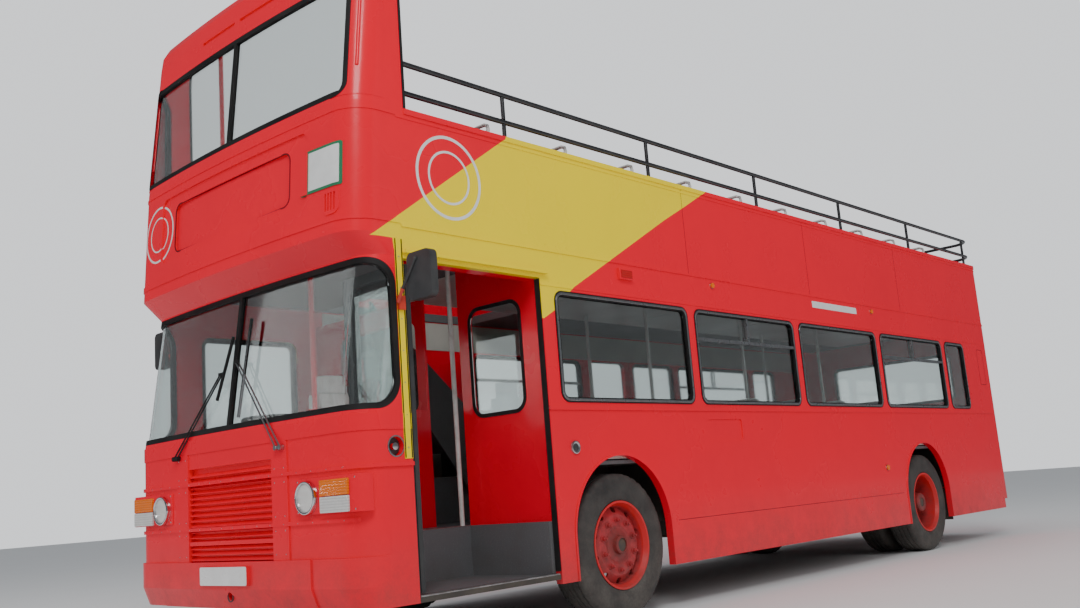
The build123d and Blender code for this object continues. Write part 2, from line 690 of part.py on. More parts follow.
def rear_pane_sketch(shrink):
    """Outline of the lower deck rear window."""
    return rounded(-REAR_PANE_HALF + shrink, REAR_PANE_HALF - shrink, WINDOW_BOTTOM_Z + 160 + shrink,
                   WINDOW_TOP_Z - shrink, WINDOW_CORNER - shrink)


def rear_ring(low_z, high_z, proud, thickness):
    """A ring round the rear end with rounded corners, open to the front."""
    depth = 2 * REAR_CORNER + 400
    outline = RectangleRounded(BODY_WIDTH + 2 * proud, depth + 2 * proud, REAR_CORNER + proud)
    hollow = 2 * (thickness - proud)
    inside = RectangleRounded(BODY_WIDTH - hollow, depth - hollow, REAR_CORNER - hollow / 2)
    centre_y = REAR_Y - depth / 2
    ring = extrude(Pos(0, centre_y, low_z) * (outline - inside), high_z - low_z)
    return ring - block(-HALF - 20, HALF + 20, centre_y - 500, SIDE_END_Y, 0, DOME_TOP_Z)


def rear_panel():
    """The rear wall with rounded corners, rear window, engine opening and plate block."""
    wall = join([rear_ring(*row) for row in REAR_RINGS])
    wall = wall + block(-PLATE_WIDTH / 2, PLATE_WIDTH / 2, REAR_Y - 5, REAR_Y + 6,
                        REAR_PLATE_Z - PLATE_HEIGHT / 2,
                        REAR_PLATE_Z + PLATE_HEIGHT / 2)
    wall = wall - prism_y(REAR_Y + 20, REAR_Y - WALL - 20, rear_pane_sketch(0))
    wall = wall - block(-LID_HALF, LID_HALF, REAR_Y - WALL - 20, REAR_Y + 20, LID_BOTTOM_Z, LID_TOP_Z)
    for side in (-1, 1):
        for z in TAIL_LAMP_LEVELS:
            wall = wall - rod_y(REAR_Y - 31, REAR_Y + 5, side * TAIL_LAMP_X, z, TAIL_LAMP_RADIUS + LAMP_FIT)
        wall = wall + lid_hinge(side, 0, 30)
    keep("rear_panel", wall)


def engine_lid():
    """The lifting lid over the engine, hinged along its top edge."""
    gap = CLEAR
    lid = block(-LID_HALF + gap, LID_HALF - gap, REAR_Y - 40, REAR_Y - 2, LID_BOTTOM_Z + gap,
                LID_TOP_Z - gap)
    for index in range(6):
        z = LID_BOTTOM_Z + 120 + index * 45
        lid = lid - block(-520, 520, REAR_Y - 12, REAR_Y + 5, z, z + 20)
    for side in (-1, 1):
        lid = lid + lid_hinge(side, HINGE_LENGTH + FIT, -20)
    keep("engine_lid", lid)


def lid_hinge(side, start, reach):
    """One barrel of a lid hinge with its strap, from start along X and reaching up or down."""
    x0 = side * (LID_HINGE_X + start)
    x1 = x0 + side * HINGE_LENGTH
    strap = block(x0, x1, REAR_Y - 4, LID_HINGE_Y, LID_HINGE_Z + reach / 5, LID_HINGE_Z + reach)
    return rod_x(x0, x1, LID_HINGE_Y, LID_HINGE_Z, HINGE_RADIUS) + strap


def exit_hinge(z0, reach):
    """One barrel of an emergency door hinge with its strap, reaching along Y."""
    strap = block(EXIT_HINGE_X, -HALF + 5, EXIT_HINGE_Y, EXIT_HINGE_Y + reach, z0, z0 + HINGE_LENGTH)
    return rod_z(z0, z0 + HINGE_LENGTH, EXIT_HINGE_X, EXIT_HINGE_Y, HINGE_RADIUS) + strap


def exit_door():
    """The offside emergency door with its own window."""
    gap = CLEAR
    leaf = block(-HALF, -HALF + 40, EXIT_FRONT_Y + gap, EXIT_FRONT_Y + EXIT_WIDTH - gap,
                 EXIT_BOTTOM_Z + gap,
                 DOOR_HEAD_Z - gap)
    light = rounded(EXIT_FRONT_Y + 75, EXIT_FRONT_Y + EXIT_WIDTH - 75, WINDOW_BOTTOM_Z, WINDOW_TOP_Z, 60)
    leaf = leaf - prism_x(-HALF - 5, -HALF + 45, light)
    pane = prism_x(-HALF + 14, -HALF + 14 + GLASS, light)
    end_y = EXIT_FRONT_Y + EXIT_WIDTH
    handle = block(-HALF - 18, -HALF, end_y - 200, end_y - 60, 1150, 1175)
    hinges = [exit_hinge(z + HINGE_LENGTH + FIT, 30) for z in EXIT_HINGE_LEVELS]
    keep("emergency_door", join([leaf, handle, pane] + hinges))


def door_leaf(y0, y1):
    """One glazed door leaf, folded square to the side wall, between two Y planes."""
    z0, z1 = STEP_Z + 15, DOOR_HEAD_Z - 15
    x0, x1 = DOOR_HINGE_X - LEAF_WIDTH, DOOR_HINGE_X
    leaf = block(x0, x1, y0, y1, z0, z1)
    light = Pos((x0 + x1) / 2, (z0 + z1) / 2) * RectangleRounded(LEAF_WIDTH - 110, z1 - z0 - 130, 50)
    leaf = leaf - prism_y(y0 - 5, y1 + 5, light)
    pane = prism_y((y0 + y1) / 2 - 3, (y0 + y1) / 2 + 3, light)
    return leaf + pane


def entrance_door():
    """Two leaves that fold flat against the front of the entrance."""
    y0 = DOOR_HINGE_Y - LEAF_THICKNESS / 2
    y1 = y0 + LEAF_THICKNESS + CLEAR
    fold_x, fold_y = DOOR_HINGE_X - LEAF_WIDTH - HINGE_RADIUS - 1, y1 - CLEAR / 2
    pins = [rod_z(z0, z1, DOOR_HINGE_X - 13, DOOR_HINGE_Y, 12)
            for z0, z1 in ((STEP_Z + FIT, STEP_Z + 20), (DOOR_HEAD_Z - 20, DOOR_HEAD_Z + CLEAR - FIT))]
    front, rear = [door_leaf(y0, y0 + LEAF_THICKNESS)] + pins, [door_leaf(y1, y1 + LEAF_THICKNESS)]
    for z in (STEP_Z + 250, DOOR_HEAD_Z - 400):
        for pieces, low, away in ((front, z, -CLEAR), (rear, z + HINGE_LENGTH + FIT, CLEAR)):
            pieces.append(rod_z(low, low + HINGE_LENGTH, fold_x, fold_y, HINGE_RADIUS))
            pieces.append(block(fold_x, fold_x + 30, fold_y, fold_y + away, low, low + HINGE_LENGTH))
    keep("entrance_front_leaf", join(front))
    keep("entrance_rear_leaf", join(rear))


# Floors, partitions and stairs


def lower_floor():
    """The lower deck floor with wheel boxes, the entrance step and the platform."""
    half = INNER - FIT
    bottom = FLOOR_Z - FLOOR_THICKNESS
    pieces = [
        block(-half, half, DOOR_REAR_Y, BAY_FRONT_Y, bottom, FLOOR_Z),
        block(-half, STEP_IN_X, DOOR_FRONT_Y, DOOR_REAR_Y, bottom, FLOOR_Z),
        block(STEP_IN_X, HALF - 5, DOOR_FRONT_Y + 5, DOOR_REAR_Y - 5, STEP_Z - 30, STEP_Z),
        block(STEP_IN_X, STEP_IN_X + 30, DOOR_FRONT_Y + 5, DOOR_REAR_Y - 5, STEP_Z, FLOOR_Z),
        block(STEP_IN_X, half, DOOR_REAR_Y - 30, DOOR_REAR_Y, STEP_Z, FLOOR_Z),
        block(-half, half, BAY_FRONT_Y - 40, BAY_FRONT_Y, FLOOR_Z, BAY_TOP_Z),
        block(-half, half, BAY_FRONT_Y, SIDE_END_Y, BAY_TOP_Z - 40, BAY_TOP_Z),
    ]
    floor = join(pieces)
    for name, side in SIDES:
        for axle_y, in_x in ((FRONT_AXLE_Y, WHEEL_BOX_IN_X), (REAR_AXLE_Y, REAR_BOX_IN_X)):
            y0, y1 = axle_y - WHEEL_BOX_HALF, axle_y + WHEEL_BOX_HALF
            box = block(side * in_x, side * half, y0, y1, WHEEL_BOX_BOTTOM_Z, WHEEL_BOX_TOP_Z)
            hollow = block(side * (in_x + 25), side * HALF, y0 + 25, y1 - 25, 0, WHEEL_BOX_TOP_Z - 25)
            floor = floor - block(side * (in_x + 5), side * HALF, y0 + 5, y1 - 5, 0, FLOOR_Z + 5)
            floor = floor + (box - hollow)
    keep("lower_floor", floor)


def upper_floor():
    """The upper deck floor with the opening over the stairs."""
    top, bottom = UPPER_FLOOR_Z, UPPER_FLOOR_Z - UPPER_FLOOR_THICKNESS
    floor = block(-INNER + FIT, INNER - FIT, FRONT_FACE_Y + 250, SIDE_END_Y, bottom, top)
    tail_half = HALF - REAR_CORNER
    floor = floor + block(-tail_half, tail_half, SIDE_END_Y, REAR_Y - WALL - FIT, bottom, top)
    nose_half = HALF - FRONT_CORNER
    floor = floor + block(-nose_half, nose_half, FRONT_FACE_Y + 115, FRONT_FACE_Y + 250, bottom, top)
    well = block(STAIR_X0, STAIR_X1, STAIR_FRONT_Y, STAIR_BACK_Y, bottom - 5, top + 5)
    keep("upper_floor", floor - well)


def staircase():
    """Steps that rise to the front along the offside, with a side panel and a rail."""
    pieces = []
    treads = 8
    rise = (UPPER_FLOOR_Z - FLOOR_Z) / (treads + 1)
    run = (STAIR_BACK_Y - STAIR_FRONT_Y - 20) / treads
    for index in range(treads):
        y1 = STAIR_BACK_Y - 10 - index * run
        z1 = FLOOR_Z + (index + 1) * rise
        pieces.append(block(STAIR_X0 + 5, STAIR_X1 - 30, y1 - run - 20, y1, z1 - 25, z1))
        pieces.append(block(STAIR_X0 + 5, STAIR_X1 - 30, y1 - 20, y1, z1 - rise + FIT, z1))
    side = Polyline((STAIR_BACK_Y - 10, FLOOR_Z + FIT), (STAIR_BACK_Y - 10, FLOOR_Z + rise + 150),
                    (STAIR_FRONT_Y + 10, UPPER_FLOOR_Z - 90), (STAIR_FRONT_Y + 10, UPPER_FLOOR_Z - 400),
                    (STAIR_BACK_Y - 500, FLOOR_Z + FIT), close=True)
    pieces.append(prism_x(STAIR_X1 - 30, STAIR_X1 - 5, make_face(side)))
    keep("staircase", join(pieces))


def partitions():
    """The bulkhead behind the entrance and the cab side screen with its door frame."""
    ceiling = UPPER_FLOOR_Z - UPPER_FLOOR_THICKNESS - FIT
    bulkhead = block(STEP_IN_X, INNER - 3, DOOR_REAR_Y + 2, DOOR_REAR_Y + 32, FLOOR_Z + FIT, ceiling)
    bulkhead = bulkhead - prism_y(DOOR_REAR_Y - 5, DOOR_REAR_Y + 40, shrunk(VESTIBULE_WINDOW, 0))
    cab = block(60, 90, DOOR_FRONT_Y + 150, DOOR_REAR_Y, FLOOR_Z + FIT, 1500)
    behind = block(-INNER + 5, 90, DOOR_REAR_Y - 10, DOOR_REAR_Y + 15, FLOOR_Z + FIT, 2300)
    behind = behind - prism_y(DOOR_REAR_Y - 20, DOOR_REAR_Y + 30, shrunk(CAB_BACK_WINDOW, 0))
    pole = rod_z(FLOOR_Z + FIT, ceiling, 75, DOOR_FRONT_Y + 200, 17)
    gear_box = block(DOOR_HINGE_X - 90, INNER - FIT, DOOR_FRONT_Y + FIT, DOOR_REAR_Y + 5,
                     DOOR_HEAD_Z + CLEAR, ceiling)
    keep("partitions", group([bulkhead + gear_box, join([cab, behind, pole])]))


# Seats


def seat_back(x0, x1, y, floor_z, back_top):
    """A raked back pad between two X planes."""
    low_z, high_z = floor_z + CUSHION_Z + 50, floor_z + back_top
    height = sqrt((high_z - low_z) ** 2 + BACK_RAKE ** 2)
    angle = degrees(atan2(BACK_RAKE, high_z - low_z))
    pad = Pos(y + BACK_RAKE / 2 - 10, (low_z + high_z) / 2) * Rot(0, 0, -angle) * RectangleRounded(
        BACK_THICKNESS, height, BACK_THICKNESS / 2 - 3)
    return prism_x(x0, x1, pad)


def seat_leg(x, y, floor_z):
    """A leg frame of flat bar, wider at the foot."""
    low, high = floor_z + FIT, floor_z + CUSHION_Z + 10
    outer = Polyline((y - 340, low), (y - 50, low), (y - 90, high), (y - 300, high), close=True)
    inner = Polyline((y - 295, low + 25), (y - 95, low + 25), (y - 122, high - 25), (y - 268, high - 25),
                     close=True)
    return prism_x(x - 12, x + 12, make_face(outer) - make_face(inner))


def seat(x_centre, y, floor_z, back_top):
    """One double seat facing forward: cushion, back and two leg frames."""
    x0, x1 = x_centre - SEAT_WIDTH / 2, x_centre + SEAT_WIDTH / 2
    bottom = floor_z + CUSHION_Z
    cushion = prism_x(x0, x1, rounded(y - CUSHION_DEPTH, y, bottom, bottom + CUSHION_THICKNESS, 28))
    legs = [seat_leg(x_centre + side * 260, y, floor_z) for side in (-1, 1)]
    return join([cushion, seat_back(x0, x1, y, floor_z, back_top)] + legs)


def side_bench(side, axle_y, in_x):
    """The inward facing bench on a wheel box."""
    y0, y1 = axle_y - WHEEL_BOX_HALF + 20, axle_y + WHEEL_BOX_HALF - 20
    low = WHEEL_BOX_TOP_Z + FIT
    cushion = prism_y(y0, y1,
                      rounded(side * (in_x + 5), side * (INNER - 60), low, low + CUSHION_THICKNESS, 25))
    back = prism_y(y0, y1, rounded(side * (INNER - 75), side * (INNER - 12), low, WINDOW_BOTTOM_Z - 8, 25))
    return cushion + back


def end_bench(y, floor_z, base_z, back_top, half):
    """The bench across the back of a deck, on a plinth from base_z up to its cushion."""
    bottom = floor_z + CUSHION_Z
    cushion = prism_x(-half, half, rounded(y - CUSHION_DEPTH, y, bottom, bottom + CUSHION_THICKNESS, 28))
    bench = cushion + seat_back(-half, half, y, floor_z, back_top)
    if base_z < bottom:
        bench = bench + block(-half + 20, half - 20, y - CUSHION_DEPTH + 60, y - CUSHION_DEPTH + 85,
                              base_z + FIT, bottom + 5)
        bench = bench + block(-half + 20, half - 20, y - 60, y - 35, base_z + FIT, bottom + 5)
    return bench


def hoop(x_centre, y, floor_z, top):
    """The tubular grab rail round the top of a seat back."""
    half = SEAT_WIDTH / 2 - 20
    low = floor_z + top - 260
    path = FilletPolyline((x_centre - half, y, low), (x_centre - half, y + 60, floor_z + top + 60),
                          (x_centre + half, y + 60, floor_z + top + 60), (x_centre + half, y,
                                                                          low), radius=70)
    start = Plane(origin=path @ 0, z_dir=path % 0)
    return sweep(start * Circle(14), path)


def seats():
    """Rows of double seats on both decks and the driver's seat."""
    upper, lower = [], []
    seat_x = INNER - SEAT_WIDTH / 2 - 15
    row_count = 10
    for row in range(row_count):
        y = DOME_BACK_Y + 640 + row * SEAT_PITCH
        for name, side in SIDES:
            if side < 0 and STAIR_FRONT_Y - 200 < y < STAIR_BACK_Y + 520:
                continue
            one = seat(side * seat_x, y, UPPER_FLOOR_Z, UPPER_BACK)
            upper.append(one + hoop(side * seat_x, y + 40, UPPER_FLOOR_Z, UPPER_BACK))
    for row in range(8):
        y = FRONT_AXLE_Y + WHEEL_BOX_HALF + 450 + row * SEAT_PITCH
        for name, side in SIDES:
            if side < 0 and y < STAIR_BACK_Y + 520:
                continue
            raised = y + 120 > REAR_AXLE_Y - WHEEL_BOX_HALF
            if raised or (side < 0 and abs(y - 210 - EXIT_FRONT_Y - EXIT_WIDTH / 2) < 540):
                continue
            lower.append(seat(side * seat_x, y, FLOOR_Z, 780))
    upper.append(end_bench(SIDE_END_Y - 20, UPPER_FLOOR_Z, UPPER_FLOOR_Z, UPPER_BACK, 1090))
    lower.append(side_bench(1, FRONT_AXLE_Y, WHEEL_BOX_IN_X))
    lower += [side_bench(side, REAR_AXLE_Y, REAR_BOX_IN_X) for _, side in SIDES]
    lower.append(end_bench(BAY_FRONT_Y + CUSHION_DEPTH - 20, BAY_TOP_Z - CUSHION_Z + FIT, BAY_TOP_Z, 730,
                           INNER - 20))
    keep("upper_seats", group(upper))
    keep("lower_seats", group(lower))
    rear = DOOR_REAR_Y - 60
    x = STEER_WHEEL_X - 20
    base = block(x - 180, x + 180, rear - 520, rear - 120, FLOOR_Z + FIT, FLOOR_Z + 350)
    cushion = prism_x(x - 240, x + 240, rounded(rear - 600, rear - 60, FLOOR_Z + 345, FLOOR_Z + 470, 50))
    back = prism_x(x - 230, x + 230, rounded(rear - 110, rear + 10, FLOOR_Z + 380, FLOOR_Z + 1130, 50))
    keep("driver_seat", join([base, cushion, back]))


def controls():
    """The dash with the steering column, and the steering wheel."""
    y, foot_z = FRONT_FACE_Y + 130, FLOOR_Z + FIT
    outline = Polyline((y, foot_z), (y, 1290), (y + 35, 1335), (y + 150, 1335), (y + 290, 1235),
                       (y + 290, 1130),
                       (y + 190, 1040), (y + 190, foot_z + 80), (y + 310, foot_z + 80), (y + 310, foot_z), close=True)
    dash = prism_x(-1000, 60, make_face(outline))
    hood = Polyline((y + 60, 1330), (y + 60, 1385), (y + 150, 1400), (y + 262, 1250), close=True)
    dash = dash + prism_x(STEER_WHEEL_X - 210, STEER_WHEEL_X + 210, make_face(hood))
    column = rod_z(FLOOR_Z + FIT, STEER_WHEEL_Z - 25 - FIT, STEER_WHEEL_X, STEER_WHEEL_Y, 45)
    keep("dash_console", dash + column)
    rim = Pos(STEER_WHEEL_X, STEER_WHEEL_Y, STEER_WHEEL_Z) * Torus(225, 16)
    hub = rod_z(STEER_WHEEL_Z - 25, STEER_WHEEL_Z + 20, STEER_WHEEL_X, STEER_WHEEL_Y, 60)
    spokes = block(STEER_WHEEL_X - 222, STEER_WHEEL_X + 222, STEER_WHEEL_Y - 16, STEER_WHEEL_Y + 16,
                   STEER_WHEEL_Z - 8,
                   STEER_WHEEL_Z + 8)
    keep("steering_wheel", join([rim, hub, spokes]))


# Guard rails


def guard_rails():
    """Two black rails on posts round the open deck, as straight tubes, bends and posts."""
    low_z, high_z = RAIL_LEVELS
    x, back_y = HALF - RAIL_IN, REAR_Y - RAIL_IN
    end_x, end_y = x - RAIL_BEND, back_y - RAIL_BEND
    bend = revolve(Plane.XZ * Pos(RAIL_BEND, 0) * Circle(RAIL_RADIUS), Axis.Z, 90)
    pieces = []
    for z in RAIL_LEVELS:
        pieces.append(rod_x(-end_x + FIT, end_x - FIT, back_y, z, RAIL_RADIUS))
        for side, turn in ((1, 0), (-1, 90)):
            pieces.append(rod_y(DOME_EDGE_Y + FIT, end_y - FIT, side * x, z, RAIL_RADIUS))
            pieces.append(Pos(side * end_x, end_y, z) * Rot(0, 0, turn) * bend)
    count = 6
    first, last = DOME_BACK_Y + 900, end_y - 70
    places = [(side * x, first + index * (last - first) / (count - 1)) for index in range(count) for _,
              side in SIDES]
    places += [(side * 600, back_y) for _, side in SIDES]
    seat_gap = RAIL_RADIUS + FIT
    for post_x, post_y in places:
        pieces.append(rod_z(PARAPET_Z + FIT, low_z - seat_gap, post_x, post_y, POST_RADIUS))
        pieces.append(rod_z(low_z + seat_gap, high_z - seat_gap, post_x, post_y, POST_RADIUS))
    keep("guard_rails", group(pieces + stair_guard()))


def stair_guard():
    """Tubes round the stair well on the upper deck, open at the head of the stairs."""
    x, back_y, front_y = STAIR_X1 + 25, STAIR_BACK_Y + 25, STAIR_FRONT_Y + 60
    gap = POST_RADIUS + FIT
    levels = (UPPER_FLOOR_Z + 400, UPPER_FLOOR_Z + 750)
    pieces = []
    for post_y in (back_y, (back_y + front_y) / 2, front_y):
        pieces.append(rod_z(UPPER_FLOOR_Z + FIT, levels[1] + 30, x, post_y, POST_RADIUS))
    middle_y = (back_y + front_y) / 2
    for z in levels:
        pieces.append(rod_y(front_y + gap, middle_y - gap, x, z, POST_RADIUS))
        pieces.append(rod_y(middle_y + gap, back_y - gap, x, z, POST_RADIUS))
        pieces.append(rod_x(-INNER + FIT, x - gap, back_y, z, POST_RADIUS))
    return pieces


# Lamps, mirrors and wipers


def face_depth(x):
    """How far the bowed front lies behind its middle at X."""
    return x ** 2 / (2 * BOW_RADIUS)


def head_lamp(side):
    """A round headlamp: a domed lens in a rim that stands a little proud of the panel."""
    rim, lens, bulge = LAMP_RADIUS, LAMP_RADIUS - 12, 10
    ball = (lens ** 2 + bulge ** 2) / (2 * bulge)
    body = Polyline((0, LAMP_DEPTH), (rim, LAMP_DEPTH), (rim, -10), (rim - 5, -15), (lens, -6), (0, -6),
                    close=True)
    lamp = revolve(make_face(body), Axis.Y)
    lamp = lamp + (rod_y(-30, 0, 0, 0, lens) & Pos(0, ball - 18, 0) * Sphere(ball))
    return Pos(side * LAMP_X, FRONT_FACE_Y + face_depth(LAMP_X), LAMP_Z) * lamp


def head_lamp_socket(side):
    """The hole that takes a headlamp."""
    face_y = FRONT_FACE_Y + face_depth(LAMP_X)
    return rod_y(face_y - 60, face_y + LAMP_DEPTH + LAMP_FIT, side * LAMP_X, LAMP_Z, LAMP_RADIUS + LAMP_FIT)


def signal_pair(side, fit=0):
    """Indicator over sidelamp, wrapped round the front corner."""
    lens = front_shell([(LAMP_Z - 88 - fit, FRONT_FACE_Y - 12, 0),
                        (LAMP_Z + 88 + fit, FRONT_FACE_Y - 12, 0)],
                       DOOR_FRONT_Y, wall=SIGNAL_DEPTH + 12 + fit)
    return lens & block(side * (SIGNAL_IN_X - fit), side * (SIGNAL_OUT_X + fit), FRONT_Y - 50,
                        DOOR_FRONT_Y - 50,
                        LAMP_Z - 90 - fit, LAMP_Z + 90 + fit)


def tail_lamp(side, z, fit=0):
    """A round lamp flush with the rear panel."""
    return rod_y(REAR_Y - 30 - fit, REAR_Y, side * TAIL_LAMP_X, z, TAIL_LAMP_RADIUS + fit)


def lamps():
    """Headlamps, indicators and tail lamps."""
    heads = [head_lamp(side) for side in (-1, 1)]
    signals = [signal_pair(side) for side in (-1, 1)]
    signals += [tail_lamp(side, z) for side in (-1, 1) for z in TAIL_LAMP_LEVELS]
    for _, side in SIDES:
        for y, z, radius in SIDE_LAMPS:
            signals.append(rod_x(side * (HALF + FIT), side * (HALF + 18), y, z, radius))
    keep("lamps", group(heads + signals))


def mirrors():
    """A mirror each side of the front, held by a bent arm from a bracket on the pillar."""
    pieces = []
    for _, side in SIDES:
        y = DOOR_FRONT_Y - 35
        head = prism_y(y - 22, y + 28,
                       rounded(side * (MIRROR_X - 100), side * (MIRROR_X + 100), MIRROR_Z - 135,
                                               MIRROR_Z + 135, 38))
        foot = block(side * (HALF + (4 if side > 0 else 0) + FIT), side * (HALF + 22), y - 24, y + 24, MIRROR_Z - 165, MIRROR_Z - 85)
        points = [(side * (HALF + 18), y - 26, MIRROR_Z - 120), (side * (HALF + 60), y - 28, MIRROR_Z - 60),
                  (side * (MIRROR_X - 20), y - 26, MIRROR_Z + 95)]
        arm = join([bar(a, b, 10) for a,
                    b in zip(points, points[1:])] + [Pos(*p) * Sphere(12) for p in points])
        pieces.append(join([head, arm, foot]))
    keep("mirrors", group(pieces))


def on_screen(x, z, away=WIPER_STANDOFF):
    """The point in front of the lower windscreen at X and Z."""
    lean = SCREEN_LEAN * max(z - SCREEN_SILL_Z, 0) / (SCREEN_HEAD_Z - SCREEN_SILL_Z)
    return (x, FRONT_FACE_Y + face_depth(x) + lean - away, z)


def wipers():
    """Two wipers on double arms in front of the lower windscreen."""
    pieces = []
    for (x, z), head, top, bottom in WIPERS:
        parts = []
        for shift in (0, WIPER_ARM_GAP):
            pivot = on_screen(x + shift, z)
            parts.append(rod_y(pivot[1] - 8, pivot[1] + WIPER_STANDOFF - PILASTER_PROUD - 3 * FIT, x + shift, z, 15))
            parts.append(bar(pivot, on_screen(head[0] + shift * 0.6, head[1]), 5))
        for (low_x, low_z), span in (((x, z), WIPER_ARM_GAP), (head, WIPER_ARM_GAP * 0.6)):
            y = on_screen(low_x, low_z)[1]
            parts.append(block(low_x - 11, low_x + span + 11, y - 7, y + 7, low_z - 9, low_z + 9))
        parts.append(bar(on_screen(*top, 21), on_screen(*bottom, 21), 10))
        pieces.append(join(parts))
    keep("wipers", group(pieces))


# Running gear


def tyre(x_in, x_out):
    """A plain tyre whose axis is the X axis, between two X planes."""
    half_profile = Polyline((x_in, RIM_RADIUS), (x_in, TYRE_RADIUS - 45), (x_in + 25, TYRE_RADIUS - 12),
                            (x_in + 50, TYRE_RADIUS),
                            (x_out - 50, TYRE_RADIUS), (x_out - 25, TYRE_RADIUS - 12), (x_out,
                                                                                        TYRE_RADIUS - 45),
                            (x_out, RIM_RADIUS), close=True)
    return revolve(make_face(half_profile), Axis.X)


def rim_profile(x_in, x_out, disc_x, rim_out):
    """The rim's side of a wheel profile, from its inner edge round to the disc."""
    return [(x_in, rim_out), (x_in, rim_out - 22), (disc_x - 12, rim_out - 42)], [
        (disc_x + 12, rim_out - 42), (x_out - 30, rim_out - 30), (x_out, rim_out - 14), (x_out, rim_out)]


def hand_holes(disc_x):
    """Notches through the edge of the disc."""
    count, away = 10, RIM_RADIUS - 58
    holes = []
    for index in range(count):
        turn = radians(360 * (index + 0.5) / count)
        holes.append(rod_x(disc_x - 45, disc_x + 60, away * cos(turn), away * sin(turn), 21))
    return join(holes)


def front_disc(x_in, x_out):
    """The front wheel: a disc dished outward to its nut ring, and the hub in its middle."""
    disc_x, ring_x = x_out - 85, x_out - 38
    start, end = rim_profile(x_in, x_out, disc_x, RIM_RADIUS - 0.3)
    middle = [(ring_x - 14, 205), (ring_x - 14, 120), (disc_x - 12, 110), (disc_x - 12, HUB_BORE),
              (x_out, HUB_BORE),
              (x_out, 50), (x_out - 6, 60), (x_out - 34, 64), (x_out - 46, 108), (ring_x - 4,
                                                                                  122), (ring_x, 128),
              (ring_x, 200)]
    profile = Polyline(*start, *middle, *end, close=True)
    return revolve(make_face(profile), Axis.X) - hand_holes(disc_x)


def rear_disc(x_in, x_out):
    """The outer rear wheel: a disc deep inside the rim, with the hub standing out of it."""
    disc_x = x_in + 22
    start, end = rim_profile(x_in, x_out, disc_x, RIM_RADIUS - 0.3)
    middle = [(disc_x - 12, HUB_BORE), (x_out - 50, HUB_BORE), (x_out - 50, 82), (x_out - 62, 92),
              (x_out - 90, 96),
              (disc_x + 60, 110), (disc_x + 40, 135), (disc_x + 12, 145)]
    profile = Polyline(*start, *middle, *end, close=True)
    return revolve(make_face(profile), Axis.X) - hand_holes(disc_x)


def wheels():
    """Front single and rear twin wheels with their tyres."""
    tyre_in = TYRE_FACE_X - TYRE_WIDTH
    for name, side in SIDES:
        turn = Rot(0, 0, 0) if side > 0 else Rot(0, 0, 180)
        front = Pos(0, FRONT_AXLE_Y, TYRE_RADIUS) * turn
        rear = Pos(0, REAR_AXLE_Y, TYRE_RADIUS) * turn
        keep(name + "_front_tyre", front * tyre(tyre_in, TYRE_FACE_X))
        keep(name + "_front_wheel", front * front_disc(tyre_in + 10, TYRE_FACE_X - 10))
        outer = tyre(tyre_in, TYRE_FACE_X)
        inner = tyre(tyre_in - TWIN_SPACING, TYRE_FACE_X - TWIN_SPACING)
        keep(name + "_rear_tyres", group([rear * outer, rear * inner]))
        disc = rear_disc(tyre_in + 10, TYRE_FACE_X - 10)
        barrel_out = tyre_in + 20
        barrel_in = tyre_in - TWIN_SPACING + 10
        ring = Polyline((barrel_in, RIM_RADIUS - 0.3), (barrel_out, RIM_RADIUS - 0.3),
                        (barrel_out, RIM_RADIUS - 40),
                        (barrel_in, RIM_RADIUS - 40), close=True)
        keep(name + "_rear_wheels", rear * (disc + revolve(make_face(ring), Axis.X)))


def axles():
    """The dropped front beam with its knuckles, and the rear axle."""
    centre, end = TYRE_RADIUS, KINGPIN_X - 20
    half_line = [(end, centre + 40), (760, centre + 40), (560, centre - 80)]
    under_line = [(590, centre - 170), (790, centre - 40), (end, centre - 40)]
    top = [(-x, z) for x, z in half_line] + half_line[::-1]
    low = under_line[::-1] + [(-x, z) for x, z in under_line]
    outline = Polyline(*top, *low, close=True)
    beam = prism_y(FRONT_AXLE_Y - 45, FRONT_AXLE_Y + 45, make_face(outline))
    for side in (-1, 1):
        x = side * KINGPIN_X
        beam = beam + rod_z(centre - 40, centre + 40, x, FRONT_AXLE_Y, 50)
        beam = beam - rod_z(centre - 60, centre + 60, x, FRONT_AXLE_Y, PIN_RADIUS + PIN_CLEAR)
    keep("front_axle_beam", beam)
    for name, side in SIDES:
        pin = rod_z(centre - 82, centre + 82, side * KINGPIN_X, FRONT_AXLE_Y, PIN_RADIUS)
        x0, x1 = side * (KINGPIN_X - 45), side * (KINGPIN_X + 75)
        lugs = [block(x0, x1, FRONT_AXLE_Y - 45, FRONT_AXLE_Y + 45, z, z + 38) for z in (centre - 82,
                                                                                         centre + 44)]
        plate = block(side * (KINGPIN_X + 55), x1, FRONT_AXLE_Y - 45, FRONT_AXLE_Y + 45, centre - 82,
                      centre + 82)
        stub = rod_x(side * (KINGPIN_X + 60), side * (TYRE_FACE_X - 20), FRONT_AXLE_Y, centre,
                     HUB_BORE - PIN_CLEAR)
        keep(name + "_steering_knuckle", join([pin, plate, stub] + lugs))
    stub, tube = HUB_BORE - PIN_CLEAR, REAR_TUBE_RADIUS
    half_profile = [(-TYRE_FACE_X + 65, 0), (-TYRE_FACE_X + 65, stub), (-560, stub), (-560, tube),
                    (-80, tube),
                    (0, 152), (200, 152), (280, tube), (560, tube), (560, stub),
                    (TYRE_FACE_X - 65, stub), (TYRE_FACE_X - 65, 0)]
    axle = revolve(make_face(Polyline(*half_profile, close=True)), Axis.X)
    keep("rear_axle", Pos(0, REAR_AXLE_Y, centre) * axle)


